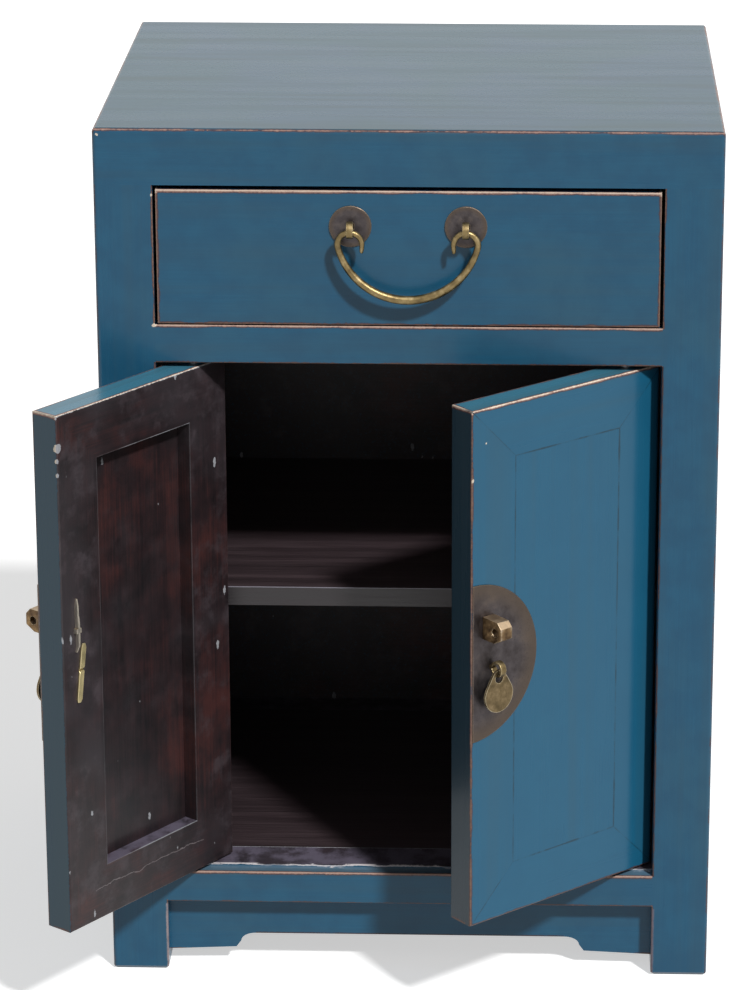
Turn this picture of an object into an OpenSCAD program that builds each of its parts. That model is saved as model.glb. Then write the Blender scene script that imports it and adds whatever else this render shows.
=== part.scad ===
// Lacquer side table: a post-and-rail case with a mitred flush top, one drawer with a bail handle
// and a pair of framed doors on pivot pins over one shelf.
// X runs to the right, Y to the back and Z up. The origin is on the floor, under the case's centre.

/* [Case] */
// Width of the case over the posts
body_w = 490; // [430:5:600]
// Depth of the case over the posts
body_d = 392; // [350:4:460]
// Height of the case from the floor to the top
body_h = 715; // [640:5:800]
// Width and depth of each square post
post_s = 46; // [42:1:52]
// Height from the floor to the underside of the bottom rails
leg_h = 62; // [45:1:90]
// Radius of the case's outer edges
edge_r = 3.5; // [2:0.5:6]
// Small radius of the other edges of the posts, rails and drawer front
small_r = 1; // [0.5:0.25:1.5]
// Radius of the front posts' inner corners, which the open doors pass
door_corner_r = 2; // [2:0.25:4]
// Size of the small bevel round each foot
foot_bevel = 3; // [1:0.5:5]

/* [Rails] */
// Height of the top frame
top_rail_h = 45; // [36:1:60]
// Height of the rail between the drawer and the doors
middle_rail_h = 31; // [26:1:40]
// Height of the rails under the doors
bottom_rail_h = 27; // [24:1:40]
// Depth of every rail from its outer face
rail_d = 46; // [42:1:52]
// Height of the low step on the bottom front rail
step_h = 2; // [1:0.5:3]
// Distance from the front face back to that step
step_back = 12; // [6:1:20]
// Length of the stub tenons on the rails
tenon_l = 14; // [8:1:15]
// Thickness of the stub tenons
tenon_t = 12; // [8:1:12]
// Wood left above and below each tenon
tenon_shoulder = 6; // [4:1:8]
// Clearance of a tenon or a tongue in its mortise or groove
joint_fit = 0.2; // [0.1:0.1:0.4]

/* [Top] */
// Thickness of the top panel
top_panel_t = 14; // [10:1:20]
// Thickness of the tongues round the floating panels
tongue_t = 5; // [4:0.5:6]
// Length of the tongues round the floating panels
tongue_l = 7; // [5:1:9]
// Width of the batten under the top panel
batten_w = 36; // [24:1:50]
// Height of the batten under the top panel
batten_h = 20; // [12:1:24]
// Wood taken off above the batten's ends
batten_notch = 4; // [2:0.5:6]

/* [Case panels] */
// Thickness of the side and back panels
panel_t = 10; // [8:1:14]
// How far the side and back panels lie behind the frame's face
panel_inset = 3; // [1:0.5:8]
// Thickness of the bottom board
board_t = 14; // [10:1:16]
// Thickness of the shelf
shelf_t = 16; // [12:1:22]
// Height from the floor to the shelf's underside
shelf_z = 304; // [220:2:400]
// Distance from the case's front to the shelf's front edge
shelf_back = 50; // [46:1:120]
// Height of the cleats under the shelf
cleat_h = 18; // [12:1:30]
// Width of the cleats under the shelf
cleat_w = 16; // [10:1:24]

/* [Aprons] */
// Thickness of the aprons
apron_t = 14; // [10:1:18]
// How far the aprons lie behind the frame's face
apron_inset = 15; // [6:1:24]
// Height from the floor to the apron's end beside a post
apron_end_z = 12; // [8:1:20]
// Rise of the apron's lower edge along its low end
apron_lift = 2.5; // [0:0.5:5]
// Height from the floor to the apron's raised middle
apron_mid_z = 27; // [22:1:40]
// Length of each low end of an apron
apron_end_l = 55; // [30:1:80]
// Width of the rise at each end of the raised middle
apron_curve_w = 16; // [10:1:24]
// Width of the straight slope that starts each rise
apron_slope_w = 4; // [2:0.5:8]
// Height of the straight slope that starts each rise
apron_slope_h = 5.5; // [2:0.5:7]

/* [Drawer] */
// Height of the drawer's opening
drawer_open_h = 113; // [90:1:130]
// Gap beside the drawer front on each side
drawer_side_gap = 2.5; // [1.5:0.5:4]
// Gap under the drawer front
drawer_low_gap = 1; // [0.5:0.5:2]
// Gap over the drawer front
drawer_top_gap = 3.5; // [1.5:0.5:5]
// How far the drawer front stands out past the drawer's sides
drawer_lip = 1; // [0:0.5:2]
// Thickness of the drawer front
drawer_front_t = 20; // [16:1:26]
// Thickness of the drawer's sides and back
drawer_wall_t = 12; // [8:1:16]
// Height of the drawer's sides
drawer_side_h = 92; // [60:1:96]
// Length of the drawer's sides behind its front
drawer_side_l = 318; // [240:2:330]
// Thickness of the drawer's bottom
drawer_floor_t = 6; // [4:1:9]
// Height of the drawer's bottom over its sides' lower edges
drawer_floor_up = 7; // [5:1:12]
// Width of the ledge under each drawer side
runner_w = 28; // [20:1:36]
// Height of the drawer's runners
runner_h = 20; // [14:1:24]
// Height of the guide lip on each runner
guide_h = 16; // [8:1:24]
// Running gap between the drawer and its runners
slide_fit = 0.4; // [0.3:0.1:1]

/* [Bail] */
// Distance between the centres of the two bail plates
bail_span = 90; // [80:1:110]
// Height of the staples over the middle of the drawer front
bail_up = 26; // [16:1:34]
// Diameter of each bail plate
bail_plate_dia = 33; // [26:1:42]
// Thickness of each bail plate at its middle
bail_plate_t = 1.6; // [1:0.1:2.5]
// Thickness of each bail plate at its rim
bail_rim_t = 0.6; // [0.4:0.1:1]
// Width of the bevel round each bail plate
bail_rim_w = 3.5; // [1:0.5:6]
// Length of the bail staples' clinched legs, up and down
bail_leg = 12; // [8:1:14]
// Diameter of the bail's rod
bail_rod = 4.6; // [3.5:0.1:5]
// How far the bail's bow swells out past its hooks
bow_out = 1.5; // [0.5:0.5:6]
// Radius of the hooks at the bail's ends, measured to the rod's middle
hook_r = 9.5; // [9:0.5:11]
// Length of the straight tip of each hook
hook_tip = 6; // [2:1:9]
// Distance from the drawer front to the middle of each staple's eye
bail_standoff = 12; // [10.5:0.5:16]
// Outer radius of the bail staples' eyes
bail_eye_r = 6.8; // [6.4:0.1:7.2]

/* [Doors] */
// Thickness of the doors
door_t = 25; // [20:1:28]
// Width of the doors' frame members
door_frame_w = 44; // [36:1:52]
// How far the door panel lies behind the frame on the inside
door_recess = 13; // [10:1:14]
// Gap between a door and its post
door_side_gap = 2.5; // [2.5:0.1:4]
// Gap between the two doors
door_mid_gap = 2; // [1.5:0.5:4]
// Gap over the doors
door_top_gap = 4; // [2:0.5:6]
// Gap between the doors and the step under them
door_low_gap = 2; // [1.5:0.5:4]
// Distance from a door's hinge edge to its pivot pins
pivot_in = 26; // [24:0.5:27]
// Distance from a door's outer face to its pivot pins
pivot_back = 14.5; // [12:0.5:15]
// Radius of the outer corner along a door's hinge edge
door_heel_r = 5; // [5:0.5:8]
// Radius of the doors' other outer edges
door_edge_r = 1.5; // [1:0.5:2.5]
// Diameter of the pivot pins
pin_dia = 8; // [6:0.5:10]
// Length of each pin in the door
pin_in = 40; // [34:1:50]
// Length of each pin in the rail
pin_out = 12; // [8:1:14]
// Radial clearance of the pins in the rails
pin_fit = 0.05; // [0.02:0.01:0.1]
// How far the collar on each lower pin stands out
collar_out = 3; // [1.5:0.5:4]
// Gap between that collar and the step it turns on
collar_gap = 0.1; // [0.05:0.05:0.3]
// How far the left door stands open
left_open_deg = 126.5; // [0:0.5:126.5]
// How far the right door stands open
right_open_deg = 41; // [0:0.5:126.5]

/* [Lock fittings] */
// Radius of the half-moon lock plates
lock_plate_r = 65; // [50:1:75]
// Thickness of the lock plates
lock_plate_t = 1.2; // [0.8:0.1:2]
// Distance from a door's free edge to its lock plate
lock_plate_in = 1; // [0:0.5:4]
// Height of the lock plates' middle over the doors' middle
lock_up = 8; // [-40:1:60]
// Distance from the free edge to the lugs' middle
lug_in = 16; // [12:0.5:30]
// Height of the lugs over the lock plates' middle
lug_up = 29; // [14:1:40]
// Width of the lugs
lug_w = 11.5; // [8:0.5:14]
// Height of the lugs at the plate
lug_h = 18.5; // [14:0.5:24]
// How far the lugs stand out from the plate
lug_l = 22; // [19:0.5:30]
// Height of the lugs' outer end
lug_tip_h = 9; // [6:0.5:14]
// Length of the slope under the lugs' outer end
lug_low_cut = 8.5; // [4:0.5:12]
// Length of the slope over the lugs' outer end
lug_high_cut = 4.5; // [2:0.5:8]
// Diameter of the padlock hole through each lug
lug_hole = 6.6; // [5:0.1:8]
// Distance from the plate to the middle of the padlock hole
lug_hole_out = 14.5; // [6:0.5:15]
// Distance from the free edge to the pendants' staples
pull_in = 20; // [16:0.5:30]
// Height of the pendants' staples under the lock plates' middle
pull_down = 5; // [0:0.5:20]
// Distance from the plate to the middle of a pendant staple's eye
pull_standoff = 8; // [7.5:0.5:12]
// Outer radius of the pendant staples' eyes
pull_eye_r = 6.5; // [6:0.1:7]
// Width of the staples' strap
strap_w = 5.2; // [4:0.1:5.6]
// Thickness of the staples' strap
strap_t = 1.6; // [1.2:0.1:1.8]
// Length of the pendant staples' clinched legs, up the inner side
leg_up = 19; // [10:1:22]
// Length of the pendant staples' clinched legs, down the inner side
leg_down = 24; // [12:1:30]
// Lean of the pendant staples' clinched legs
leg_lean_deg = 8; // [6:1:12]
// Length of the lugs' clinched legs, up the inner side
lug_leg_up = 26; // [12:1:32]
// Length of the lugs' clinched legs, down the inner side
lug_leg_down = 19; // [10:1:22]
// Height of the lugs' clinched legs, which stand on edge
leg_rise = 3.2; // [2:0.2:5]
// Width of a pendant
pendant_w = 28; // [22:1:32]
// Height of a pendant
pendant_h = 35; // [30:1:40]
// Thickness of a pendant
pendant_t = 2; // [1.4:0.1:2.4]
// Diameter of a pendant's hole
pendant_hole = 8; // [7.6:0.1:9]
// Width of metal round a pendant's hole
pendant_rim = 2.8; // [2:0.1:4]

/* [Hidden] */
$fn = 48;
eps = 0.01;
// How far a cut runs out past the face it opens
over = 1;
// Length of a bore past the end of its pin
bore_spare = 1;

lacquer = "#355b74";
dark_wood = "#33232a";
raw_wood = "#8a6a4c";
bronze = "#5a4d44";
brass = "#9a8452";
steel = "#9a9a96";

// Levels of the case
top_z = body_h - top_rail_h;
drawer_z = top_z - drawer_open_h;
door_open_top = drawer_z - middle_rail_h;
bottom_z = leg_h + bottom_rail_h;

// Inner faces of the posts and of the rails
open_x = body_w / 2 - post_s;
post_y = body_d / 2 - post_s;
rail_x = body_w / 2 - rail_d;
rail_y = body_d / 2 - rail_d;
front_y = -body_d / 2;
panel_in_x = body_w / 2 - panel_inset - panel_t;
panel_in_y = body_d / 2 - panel_inset - panel_t;
board_top = bottom_z + step_h;

// Tongue of a panel lies in the middle of the panel's thickness
tongue_out = (panel_t - tongue_t) / 2;

// Drawer
drawer_w = 2 * open_x - 2 * drawer_side_gap;
drawer_box_w = drawer_w - 2 * drawer_lip;
drawer_front_z = drawer_z + drawer_low_gap;
drawer_front_h = drawer_open_h - drawer_low_gap - drawer_top_gap;
drawer_side_z = drawer_z + slide_fit;
drawer_floor_z = drawer_side_z + drawer_floor_up;
drawer_side_y = front_y + drawer_front_t;
drawer_groove = drawer_wall_t / 2;
staple_z = drawer_front_z + drawer_front_h / 2 + bail_up;

// Bail: the hook's top hangs this far below the eye's middle, just clear of the eye's lower side
bail_seat = 0.5;
bail_eye_in = bail_eye_r - strap_t;
hook_dip = hook_r - sqrt(hook_r * hook_r - strap_w * strap_w / 4);
bail_drop = bail_eye_in - bail_rod / 2 - hook_dip - bail_seat;
bail_y = front_y - bail_standoff;
bail_z = staple_z - bail_drop;
// The bow meets each hook where both have one tangent
bow_r = bail_span / 2 + hook_r + bow_out;
hook_turn = acos((bail_span / 2) / (bow_r - hook_r));
bow_up = (bow_r - hook_r) * sin(hook_turn);
// Sides of the bail's rod, steps along each hook and along the bow, and the bevel at the tips
rod_sides = 14;
hook_steps = 12;
bow_steps = 28;
tip_bevel = 0.9;

// Doors, drawn closed with the pivot at the origin: the outer face is at -pivot_back
door_w = (2 * open_x - 2 * door_side_gap - door_mid_gap) / 2;
door_z = board_top + door_low_gap;
door_h = door_open_top - door_top_gap - door_z;
door_x0 = -pivot_in;
door_x1 = door_w - pivot_in;
door_y0 = -pivot_back;
door_y1 = door_t - pivot_back;
door_panel_t = door_t - door_recess;
pivot_x = open_x - door_side_gap - pivot_in;
pivot_y = front_y + pivot_back;
plate_z = door_z + door_h / 2 + lock_up;
lug_x = door_x1 - lug_in;
lug_z = plate_z + lug_up;
pull_x = door_x1 - pull_in;
pull_z = plate_z - pull_down;
plate_y = door_y0 - lock_plate_t;
pull_y = plate_y - pull_standoff;
pull_eye_in = pull_eye_r - strap_t;

// Pendant: its hole is centred this far below the eye's middle, so that the strap fits inside it
strap_top = sqrt(pull_eye_in * pull_eye_in - pendant_t * pendant_t / 4);
pendant_play = 0.25;
strap_room = sqrt(pow(pendant_hole / 2 - pendant_play, 2) - strap_w * strap_w / 4);
pendant_drop = strap_top + strap_room;
pendant_low_r = pendant_w / 2;
pendant_top_r = pendant_hole / 2 + pendant_rim;
pendant_gap = pendant_h - pendant_low_r - pendant_top_r;
flank_in = 0.1;

// Rectangle whose corners have their own radii, from the lower left one anticlockwise
module soft_rect(size, radii) {
    spots = [[0, 0], [size[0], 0], size, [0, size[1]]];
    turns = [[1, 1], [-1, 1], [-1, -1], [1, -1]];
    difference() {
        square(size);
        for (i = [0:3])
            if (radii[i] > 0)
                translate([for (k = [0, 1]) spots[i][k] - (turns[i][k] > 0 ? eps : radii[i])])
                    square(radii[i] + eps);
    }
    for (i = [0:3])
        if (radii[i] > 0)
            translate([spots[i][0] + turns[i][0] * radii[i], spots[i][1] + turns[i][1] * radii[i]])
                circle(radii[i]);
}

// Bar along X whose cross-section is drawn in Y and Z
module bar_x(length) {
    translate([-length / 2, 0, 0])
        rotate([90, 0, 90])
            linear_extrude(length)
                children();
}

// Plan of one mitred rail of a frame w by d, with rounded outer corners; the rail is at the front
module mitre_plan(w, d, rail, r) {
    intersection() {
        translate([-w / 2, -d / 2])
            soft_rect([w, d], [r, r, r, r]);
        polygon([
            [-w / 2, -d / 2],
            [w / 2, -d / 2],
            [w / 2 - rail, -d / 2 + rail],
            [-w / 2 + rail, -d / 2 + rail]
        ]);
    }
}

// Both stub tenons of a rail along X, of height h from z, in the middle of its depth
module tenons_x(length, z, h, grow) {
    for (side = [-1, 1])
        translate([side * (length + tenon_l) / 2, 0, z + h / 2])
            cube([tenon_l + grow, tenon_t + 2 * grow, h - 2 * tenon_shoulder + 2 * grow], center = true);
}

// A rail along X between two posts, with its outer face at the given Y
module rail_with_tenons(length, outer_y, z, h) {
    translate([0, outer_y, z])
        bar_x(length)
            soft_rect([rail_d, h], [small_r, small_r, small_r, small_r]);
    translate([0, outer_y + rail_d / 2, 0])
        tenons_x(length - eps, z, h, 0);
}

// Room for the tenons of every rail that ends in the posts
module mortises() {
    for (y = [front_y + rail_d / 2, -front_y - rail_d / 2]) {
        translate([0, y, 0]) {
            tenons_x(2 * open_x, drawer_z - middle_rail_h, middle_rail_h, joint_fit);
            tenons_x(2 * open_x, leg_h, bottom_rail_h, joint_fit);
        }
    }
    for (x = [-body_w / 2 + rail_d / 2, body_w / 2 - rail_d / 2])
        translate([x, 0, 0])
            rotate([0, 0, 90])
                tenons_x(2 * post_y, leg_h, bottom_rail_h, joint_fit);
}

// Room for the tongues of the side and back panels
module panel_grooves() {
    g = tongue_l + joint_fit;
    t = tongue_t + 2 * joint_fit;
    x = body_w / 2 - panel_inset - tongue_out - tongue_t - joint_fit;
    y = body_d / 2 - panel_inset - tongue_out - tongue_t - joint_fit;
    for (side = [0, 1])
        mirror([side, 0, 0])
            translate([x, -post_y - g, bottom_z - g])
                cube([t, 2 * post_y + 2 * g, top_z - bottom_z + 2 * g]);
    for (span = [[bottom_z, door_open_top], [drawer_z, top_z]])
        translate([-open_x - g, y, span[0] - g])
            cube([2 * open_x + 2 * g, t, span[1] - span[0] + 2 * g]);
}

// Bevels round the lower end of a post that stands on the floor
module foot_bevels() {
    for (turn = [0:90:270])
        rotate([0, 0, turn])
            translate([post_s / 2, 0, 0])
                rotate([0, 45, 0])
                    cube([foot_bevel * sqrt(2), post_s + 2 * over, foot_bevel * sqrt(2)], center = true);
}

// Wood taken off the corner of a post at +X and -Y, over a part of its height
module corner_cut(r, z0, z1) {
    translate([post_s / 2 - r, -post_s / 2, z0])
        linear_extrude(z1 - z0)
            difference() {
                translate([0, -over])
                    square([r + over, r + over]);
                translate([0, r])
                    circle(r);
            }
}

// Post drawn about its own middle as the left front one. Its outer corner carries the case's edge
// radius, and the corners beside it are eased only where no rail joins them.
module post_shape(opening_r) {
    difference() {
        translate([-post_s / 2, -post_s / 2, 0])
            linear_extrude(top_z)
                soft_rect([post_s, post_s], [edge_r, 0, 0, 0]);
        foot_bevels();
        corner_cut(small_r, 0, leg_h);
        corner_cut(opening_r, bottom_z, door_open_top);
        corner_cut(small_r, drawer_z, top_z);
        mirror([1, -1, 0]) {
            corner_cut(small_r, 0, leg_h);
            corner_cut(small_r, bottom_z, top_z);
        }
    }
}

module post(side_x, side_y) {
    color(lacquer)
        difference() {
            mirror([side_x, 0, 0])
                mirror([0, side_y, 0])
                    translate([(post_s - body_w) / 2, (post_s - body_d) / 2, 0])
                        post_shape(side_y == 0 ? door_corner_r : small_r);
            mortises();
            panel_grooves();
        }
}

// Room for the top panel's tongue and for the batten's ends in the top frame
module top_grooves() {
    g = tongue_l + joint_fit;
    z = body_h - top_panel_t + (top_panel_t - tongue_t) / 2 - joint_fit;
    translate([-rail_x - g, -rail_y - g, z])
        cube([2 * (rail_x + g), 2 * (rail_y + g), tongue_t + 2 * joint_fit]);
    translate([-batten_w / 2 - joint_fit, -rail_y - g, body_h - top_panel_t - batten_h - joint_fit])
        cube([batten_w + 2 * joint_fit, 2 * (rail_y + g), batten_h - batten_notch + 2 * joint_fit]);
}

// One mitred rail of the top frame, drawn at the front of a frame w by d
module top_rail(w, d) {
    intersection() {
        translate([0, -d / 2, top_z])
            bar_x(w)
                soft_rect([rail_d, top_rail_h], [0, small_r, 0, edge_r]);
        translate([0, 0, top_z - over])
            linear_extrude(top_rail_h + 2 * over)
                mitre_plan(w, d, rail_d, edge_r);
    }
}

module top_front_rail() {
    color(lacquer)
        difference() {
            top_rail(body_w, body_d);
            top_grooves();
        }
}

module top_rear_rail() {
    color(lacquer)
        difference() {
            mirror([0, 1, 0])
                top_rail(body_w, body_d);
            top_grooves();
            panel_grooves();
        }
}

module top_side_rail(side) {
    color(lacquer)
        difference() {
            mirror([side, 0, 0])
                rotate([0, 0, -90])
                    top_rail(body_d, body_w);
            top_grooves();
            panel_grooves();
        }
}

module top_panel() {
    t = tongue_l;
    color(lacquer) {
        translate([-rail_x, -rail_y, body_h - top_panel_t])
            cube([2 * rail_x, 2 * rail_y, top_panel_t]);
        translate([-rail_x - t, -rail_y - t, body_h - top_panel_t + (top_panel_t - tongue_t) / 2])
            cube([2 * (rail_x + t), 2 * (rail_y + t), tongue_t]);
    }
}

module top_batten() {
    color(raw_wood) {
        translate([-batten_w / 2, -rail_y, body_h - top_panel_t - batten_h])
            cube([batten_w, 2 * rail_y, batten_h]);
        translate([-batten_w / 2, -rail_y - tongue_l, body_h - top_panel_t - batten_h])
            cube([batten_w, 2 * (rail_y + tongue_l), batten_h - batten_notch]);
    }
}

// Bore for one pivot pin of each door
module rail_bores(z, up) {
    for (side = [-1, 1])
        translate([side * pivot_x, pivot_y, up ? z - eps : z - pin_out - bore_spare])
            cylinder(h = pin_out + bore_spare + eps, r = pin_dia / 2 + pin_fit);
}

module middle_front_rail() {
    color(lacquer)
        difference() {
            rail_with_tenons(2 * open_x, front_y, drawer_z - middle_rail_h, middle_rail_h);
            rail_bores(door_open_top, true);
        }
}

module middle_rear_rail() {
    color(lacquer)
        difference() {
            rail_with_tenons(2 * open_x, rail_y, drawer_z - middle_rail_h, middle_rail_h);
            panel_grooves();
        }
}

// Room for the bottom board's tongue
module board_grooves() {
    g = tongue_l + joint_fit;
    translate([-rail_x - g, -rail_y - g, board_top - board_t - joint_fit])
        cube([2 * (rail_x + g), 2 * (rail_y + g), tongue_t + 2 * joint_fit]);
}

module bottom_front_rail() {
    color(lacquer)
        difference() {
            union() {
                rail_with_tenons(2 * open_x, front_y, leg_h, bottom_rail_h);
                translate([-open_x, front_y + step_back, bottom_z - step_h])
                    cube([2 * open_x, rail_d - step_back, 2 * step_h]);
            }
            board_grooves();
            rail_bores(board_top, false);
        }
}

module bottom_rear_rail() {
    color(lacquer)
        difference() {
            rail_with_tenons(2 * open_x, rail_y, leg_h, bottom_rail_h);
            board_grooves();
            panel_grooves();
        }
}

module bottom_side_rail(side) {
    color(lacquer)
        difference() {
            mirror([side, 0, 0])
                rotate([0, 0, -90])
                    rail_with_tenons(2 * post_y, -body_w / 2, leg_h, bottom_rail_h);
            board_grooves();
            panel_grooves();
        }
}

// Apron between two posts, drawn in X and Z about the middle of its length
module apron_outline(length) {
    half = length / 2;
    bend = half - apron_end_l;
    polygon(concat(
        [[-half, leg_h], [-half, apron_end_z], [-bend, apron_end_z + apron_lift]],
        [for (a = [0:15:90]) apron_curve(bend, a, -1)],
        [for (a = [90:-15:0]) apron_curve(bend, a, 1)],
        [[bend, apron_end_z + apron_lift], [half, apron_end_z], [half, leg_h]]
    ));
}

// Point of the curve that lifts the apron's edge to its middle
function apron_curve(bend, a, side) = let (
    z = apron_end_z + apron_lift + apron_slope_h
) [
    side * (bend - apron_slope_w - (apron_curve_w - apron_slope_w) * (1 - cos(a))),
    z + (apron_mid_z - z) * sin(a)
];

module apron(length, outer_y) {
    color(lacquer)
        translate([0, outer_y + apron_inset + apron_t, 0])
            rotate([90, 0, 0])
                linear_extrude(apron_t)
                    apron_outline(length);
}

// Flat panel with a thinner tongue round it, drawn in X and Z with its outer face at y = 0
module tongued_panel(w, z0, z1) {
    translate([-w / 2, 0, z0])
        cube([w, panel_t, z1 - z0]);
    translate([-w / 2 - tongue_l, tongue_out, z0 - tongue_l])
        cube([w + 2 * tongue_l, tongue_t, z1 - z0 + 2 * tongue_l]);
}

module side_panel(side) {
    color(lacquer)
        mirror([side, 0, 0])
            translate([-body_w / 2 + panel_inset, 0, 0])
                rotate([0, 0, -90])
                    tongued_panel(2 * post_y, bottom_z, top_z);
}

module back_panel(z0, z1) {
    color(lacquer)
        translate([0, body_d / 2 - panel_inset, 0])
            rotate([0, 0, 180])
                tongued_panel(2 * open_x, z0, z1);
}

// Board with a tongue on all four sides, notched at the corners for the posts
module bottom_board() {
    x = min(rail_x, open_x) - joint_fit;
    y = min(rail_y, post_y) - joint_fit;
    z = board_top - board_t;
    color(dark_wood) {
        translate([-rail_x, -y, z])
            cube([2 * rail_x, 2 * y, board_t]);
        translate([-x, -rail_y, z])
            cube([2 * x, 2 * rail_y, board_t]);
        translate([-rail_x - tongue_l, -y, z])
            cube([2 * (rail_x + tongue_l), 2 * y, tongue_t]);
        translate([-x, -rail_y - tongue_l, z])
            cube([2 * x, 2 * (rail_y + tongue_l), tongue_t]);
    }
}

// Shelf between the side panels, notched round the rear posts
module shelf_board() {
    wide = panel_in_x - joint_fit;
    narrow = open_x - joint_fit;
    color(dark_wood)
        translate([0, 0, shelf_z])
            linear_extrude(shelf_t)
                polygon([
                    [-wide, front_y + shelf_back],
                    [wide, front_y + shelf_back],
                    [wide, post_y - joint_fit],
                    [narrow, post_y - joint_fit],
                    [narrow, panel_in_y - joint_fit],
                    [-narrow, panel_in_y - joint_fit],
                    [-narrow, post_y - joint_fit],
                    [-wide, post_y - joint_fit]
                ]);
}

module shelf_cleat(side) {
    color(dark_wood)
        mirror([side, 0, 0])
            translate([-panel_in_x, -post_y, shelf_z - cleat_h])
                cube([cleat_w, 2 * post_y, cleat_h]);
}

// Runner under a drawer side: a ledge, and a guide beside the drawer that fills up to the side panel
module drawer_runner(side) {
    guide_x = drawer_box_w / 2 + slide_fit;
    y = min(rail_y, post_y);
    color(raw_wood)
        mirror([side, 0, 0]) {
            translate([joint_fit - open_x, -y, drawer_z - runner_h])
                cube([runner_w, 2 * y, runner_h]);
            translate([-panel_in_x, -y, drawer_z - runner_h])
                cube([panel_in_x - guide_x, 2 * y, runner_h + guide_h]);
        }
}

// Slot for the two legs of a staple through a board along Y
module staple_slot(x, z) {
    translate([x, 0, z])
        cube([strap_w + 2 * joint_fit, 4 * door_t, 2 * strap_t + 2 * joint_fit], center = true);
}

module drawer_front() {
    half = drawer_box_w / 2 - drawer_groove;
    color(lacquer)
        difference() {
            translate([0, front_y, drawer_front_z])
                bar_x(drawer_w)
                    soft_rect([drawer_front_t, drawer_front_h], [small_r, small_r, small_r, small_r]);
            translate([-half, drawer_side_y - drawer_groove, drawer_floor_z])
                cube([2 * half, drawer_groove + over, drawer_floor_t + joint_fit]);
            for (side = [-1, 1])
                translate([0, front_y, 0])
                    staple_slot(side * bail_span / 2, staple_z);
        }
}

module drawer_side(side) {
    groove_x = drawer_wall_t - drawer_groove - drawer_box_w / 2;
    color(raw_wood)
        mirror([side, 0, 0])
            difference() {
                translate([-drawer_box_w / 2, drawer_side_y, drawer_side_z])
                    cube([drawer_wall_t, drawer_side_l, drawer_side_h]);
                translate([groove_x, drawer_side_y - over, drawer_floor_z])
                    cube([drawer_groove + over, drawer_side_l + 2 * over, drawer_floor_t + joint_fit]);
            }
}

// The back stands on the drawer's bottom, between the sides
module drawer_back() {
    z = drawer_floor_z + drawer_floor_t + joint_fit;
    color(raw_wood)
        translate([
            -drawer_box_w / 2 + drawer_wall_t,
            drawer_side_y + drawer_side_l - drawer_wall_t,
            z
        ])
            cube([drawer_box_w - 2 * drawer_wall_t, drawer_wall_t, drawer_side_z + drawer_side_h - z]);
}

module drawer_bottom() {
    in = drawer_groove - joint_fit;
    w = drawer_box_w - 2 * drawer_wall_t + 2 * in;
    color(raw_wood)
        translate([-w / 2, drawer_side_y - in, drawer_floor_z])
            cube([w, drawer_side_l + in, drawer_floor_t]);
}

// Round plate with a bevelled rim, slotted for the staple
module bail_plate(side) {
    r = bail_plate_dia / 2;
    color(bronze)
        difference() {
            translate([side * bail_span / 2, front_y, staple_z])
                rotate([90, 0, 0])
                    rotate_extrude()
                        polygon([
                            [0, 0],
                            [r, 0],
                            [r, bail_rim_t],
                            [r - bail_rim_w, bail_plate_t],
                            [0, bail_plate_t]
                        ]);
            translate([0, front_y, 0])
                staple_slot(side * bail_span / 2, staple_z);
        }
}

// Staple bent from one strap: an eye at y = 0 with its axis along X, two legs on each other through
// the board as far as the inner face at y = reach, and a leaning clinched leg up and down there
module staple(eye_r, reach, up, down, lean) {
    difference() {
        union() {
            rotate([0, 90, 0])
                cylinder(h = strap_w, r = eye_r, center = true);
            translate([-strap_w / 2, 0, -strap_t])
                cube([strap_w, reach + strap_t, 2 * strap_t]);
        }
        rotate([0, 90, 0])
            cylinder(h = strap_w + 2 * over, r = eye_r - strap_t, center = true);
    }
    rotate([0, lean, 0])
        translate([-strap_w / 2, reach, -down])
            cube([strap_w, strap_t, up + down]);
}

module bail_staple(side) {
    color(brass)
        translate([side * bail_span / 2, bail_y, staple_z])
            staple(bail_eye_r, bail_standoff + drawer_front_t, bail_leg, bail_leg, 0);
}

// Ring of the bail's rod at a turn of its path: middle x and z, angle of the path and rod radius
function rod_ring(turn) = [
    for (i = [0:rod_sides - 1])
        let (b = i * 360 / rod_sides, out = turn[3] * cos(b))
            [turn[0] + out * cos(turn[2]), turn[3] * sin(b), turn[1] + out * sin(turn[2])]
];

// Turns of an arc about the point x, z
function rod_arc(x, z, r, from, to, count) = [
    for (i = [0:count])
        let (a = from + i * (to - from) / count)
            [x + r * cos(a), z + r * sin(a), a, bail_rod / 2]
];

// Path of the bail from the tip of its left hook, over that staple, down the bow and up again.
// The bow leaves out its own ends, which are the ends of the hooks.
function bail_path() = let (
    x = bail_span / 2,
    tip_z = -hook_r - hook_tip,
    end_z = tip_z - tip_bevel,
    r = bail_rod / 2,
    step = (180 - 2 * hook_turn) / bow_steps
) concat(
    [[hook_r - x, end_z, 0, r - tip_bevel], [hook_r - x, tip_z, 0, r]],
    rod_arc(-x, -hook_r, hook_r, 0, 180 + hook_turn, hook_steps),
    rod_arc(0, bow_up - hook_r, bow_r, 180 + hook_turn + step, 360 - hook_turn - step, bow_steps - 2),
    rod_arc(x, -hook_r, hook_r, 360 - hook_turn, 540, hook_steps),
    [[x - hook_r, tip_z, 540, r], [x - hook_r, end_z, 540, r - tip_bevel]]
);

module drawer_bail() {
    rings = [for (turn = bail_path()) rod_ring(turn)];
    n = rod_sides;
    last = len(rings) - 1;
    color(brass)
        translate([0, bail_y, bail_z])
            polyhedron(
                points = [for (ring = rings) each ring],
                faces = concat(
                    [[for (i = [0:n - 1]) i]],
                    [
                        for (k = [0:last - 1], i = [0:n - 1])
                            let (j = (i + 1) % n)
                                [k * n + j, k * n + i, (k + 1) * n + i, (k + 1) * n + j]
                    ],
                    [[for (i = [n - 1:-1:0]) last * n + i]]
                ),
                convexity = 6
            );
}

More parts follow.
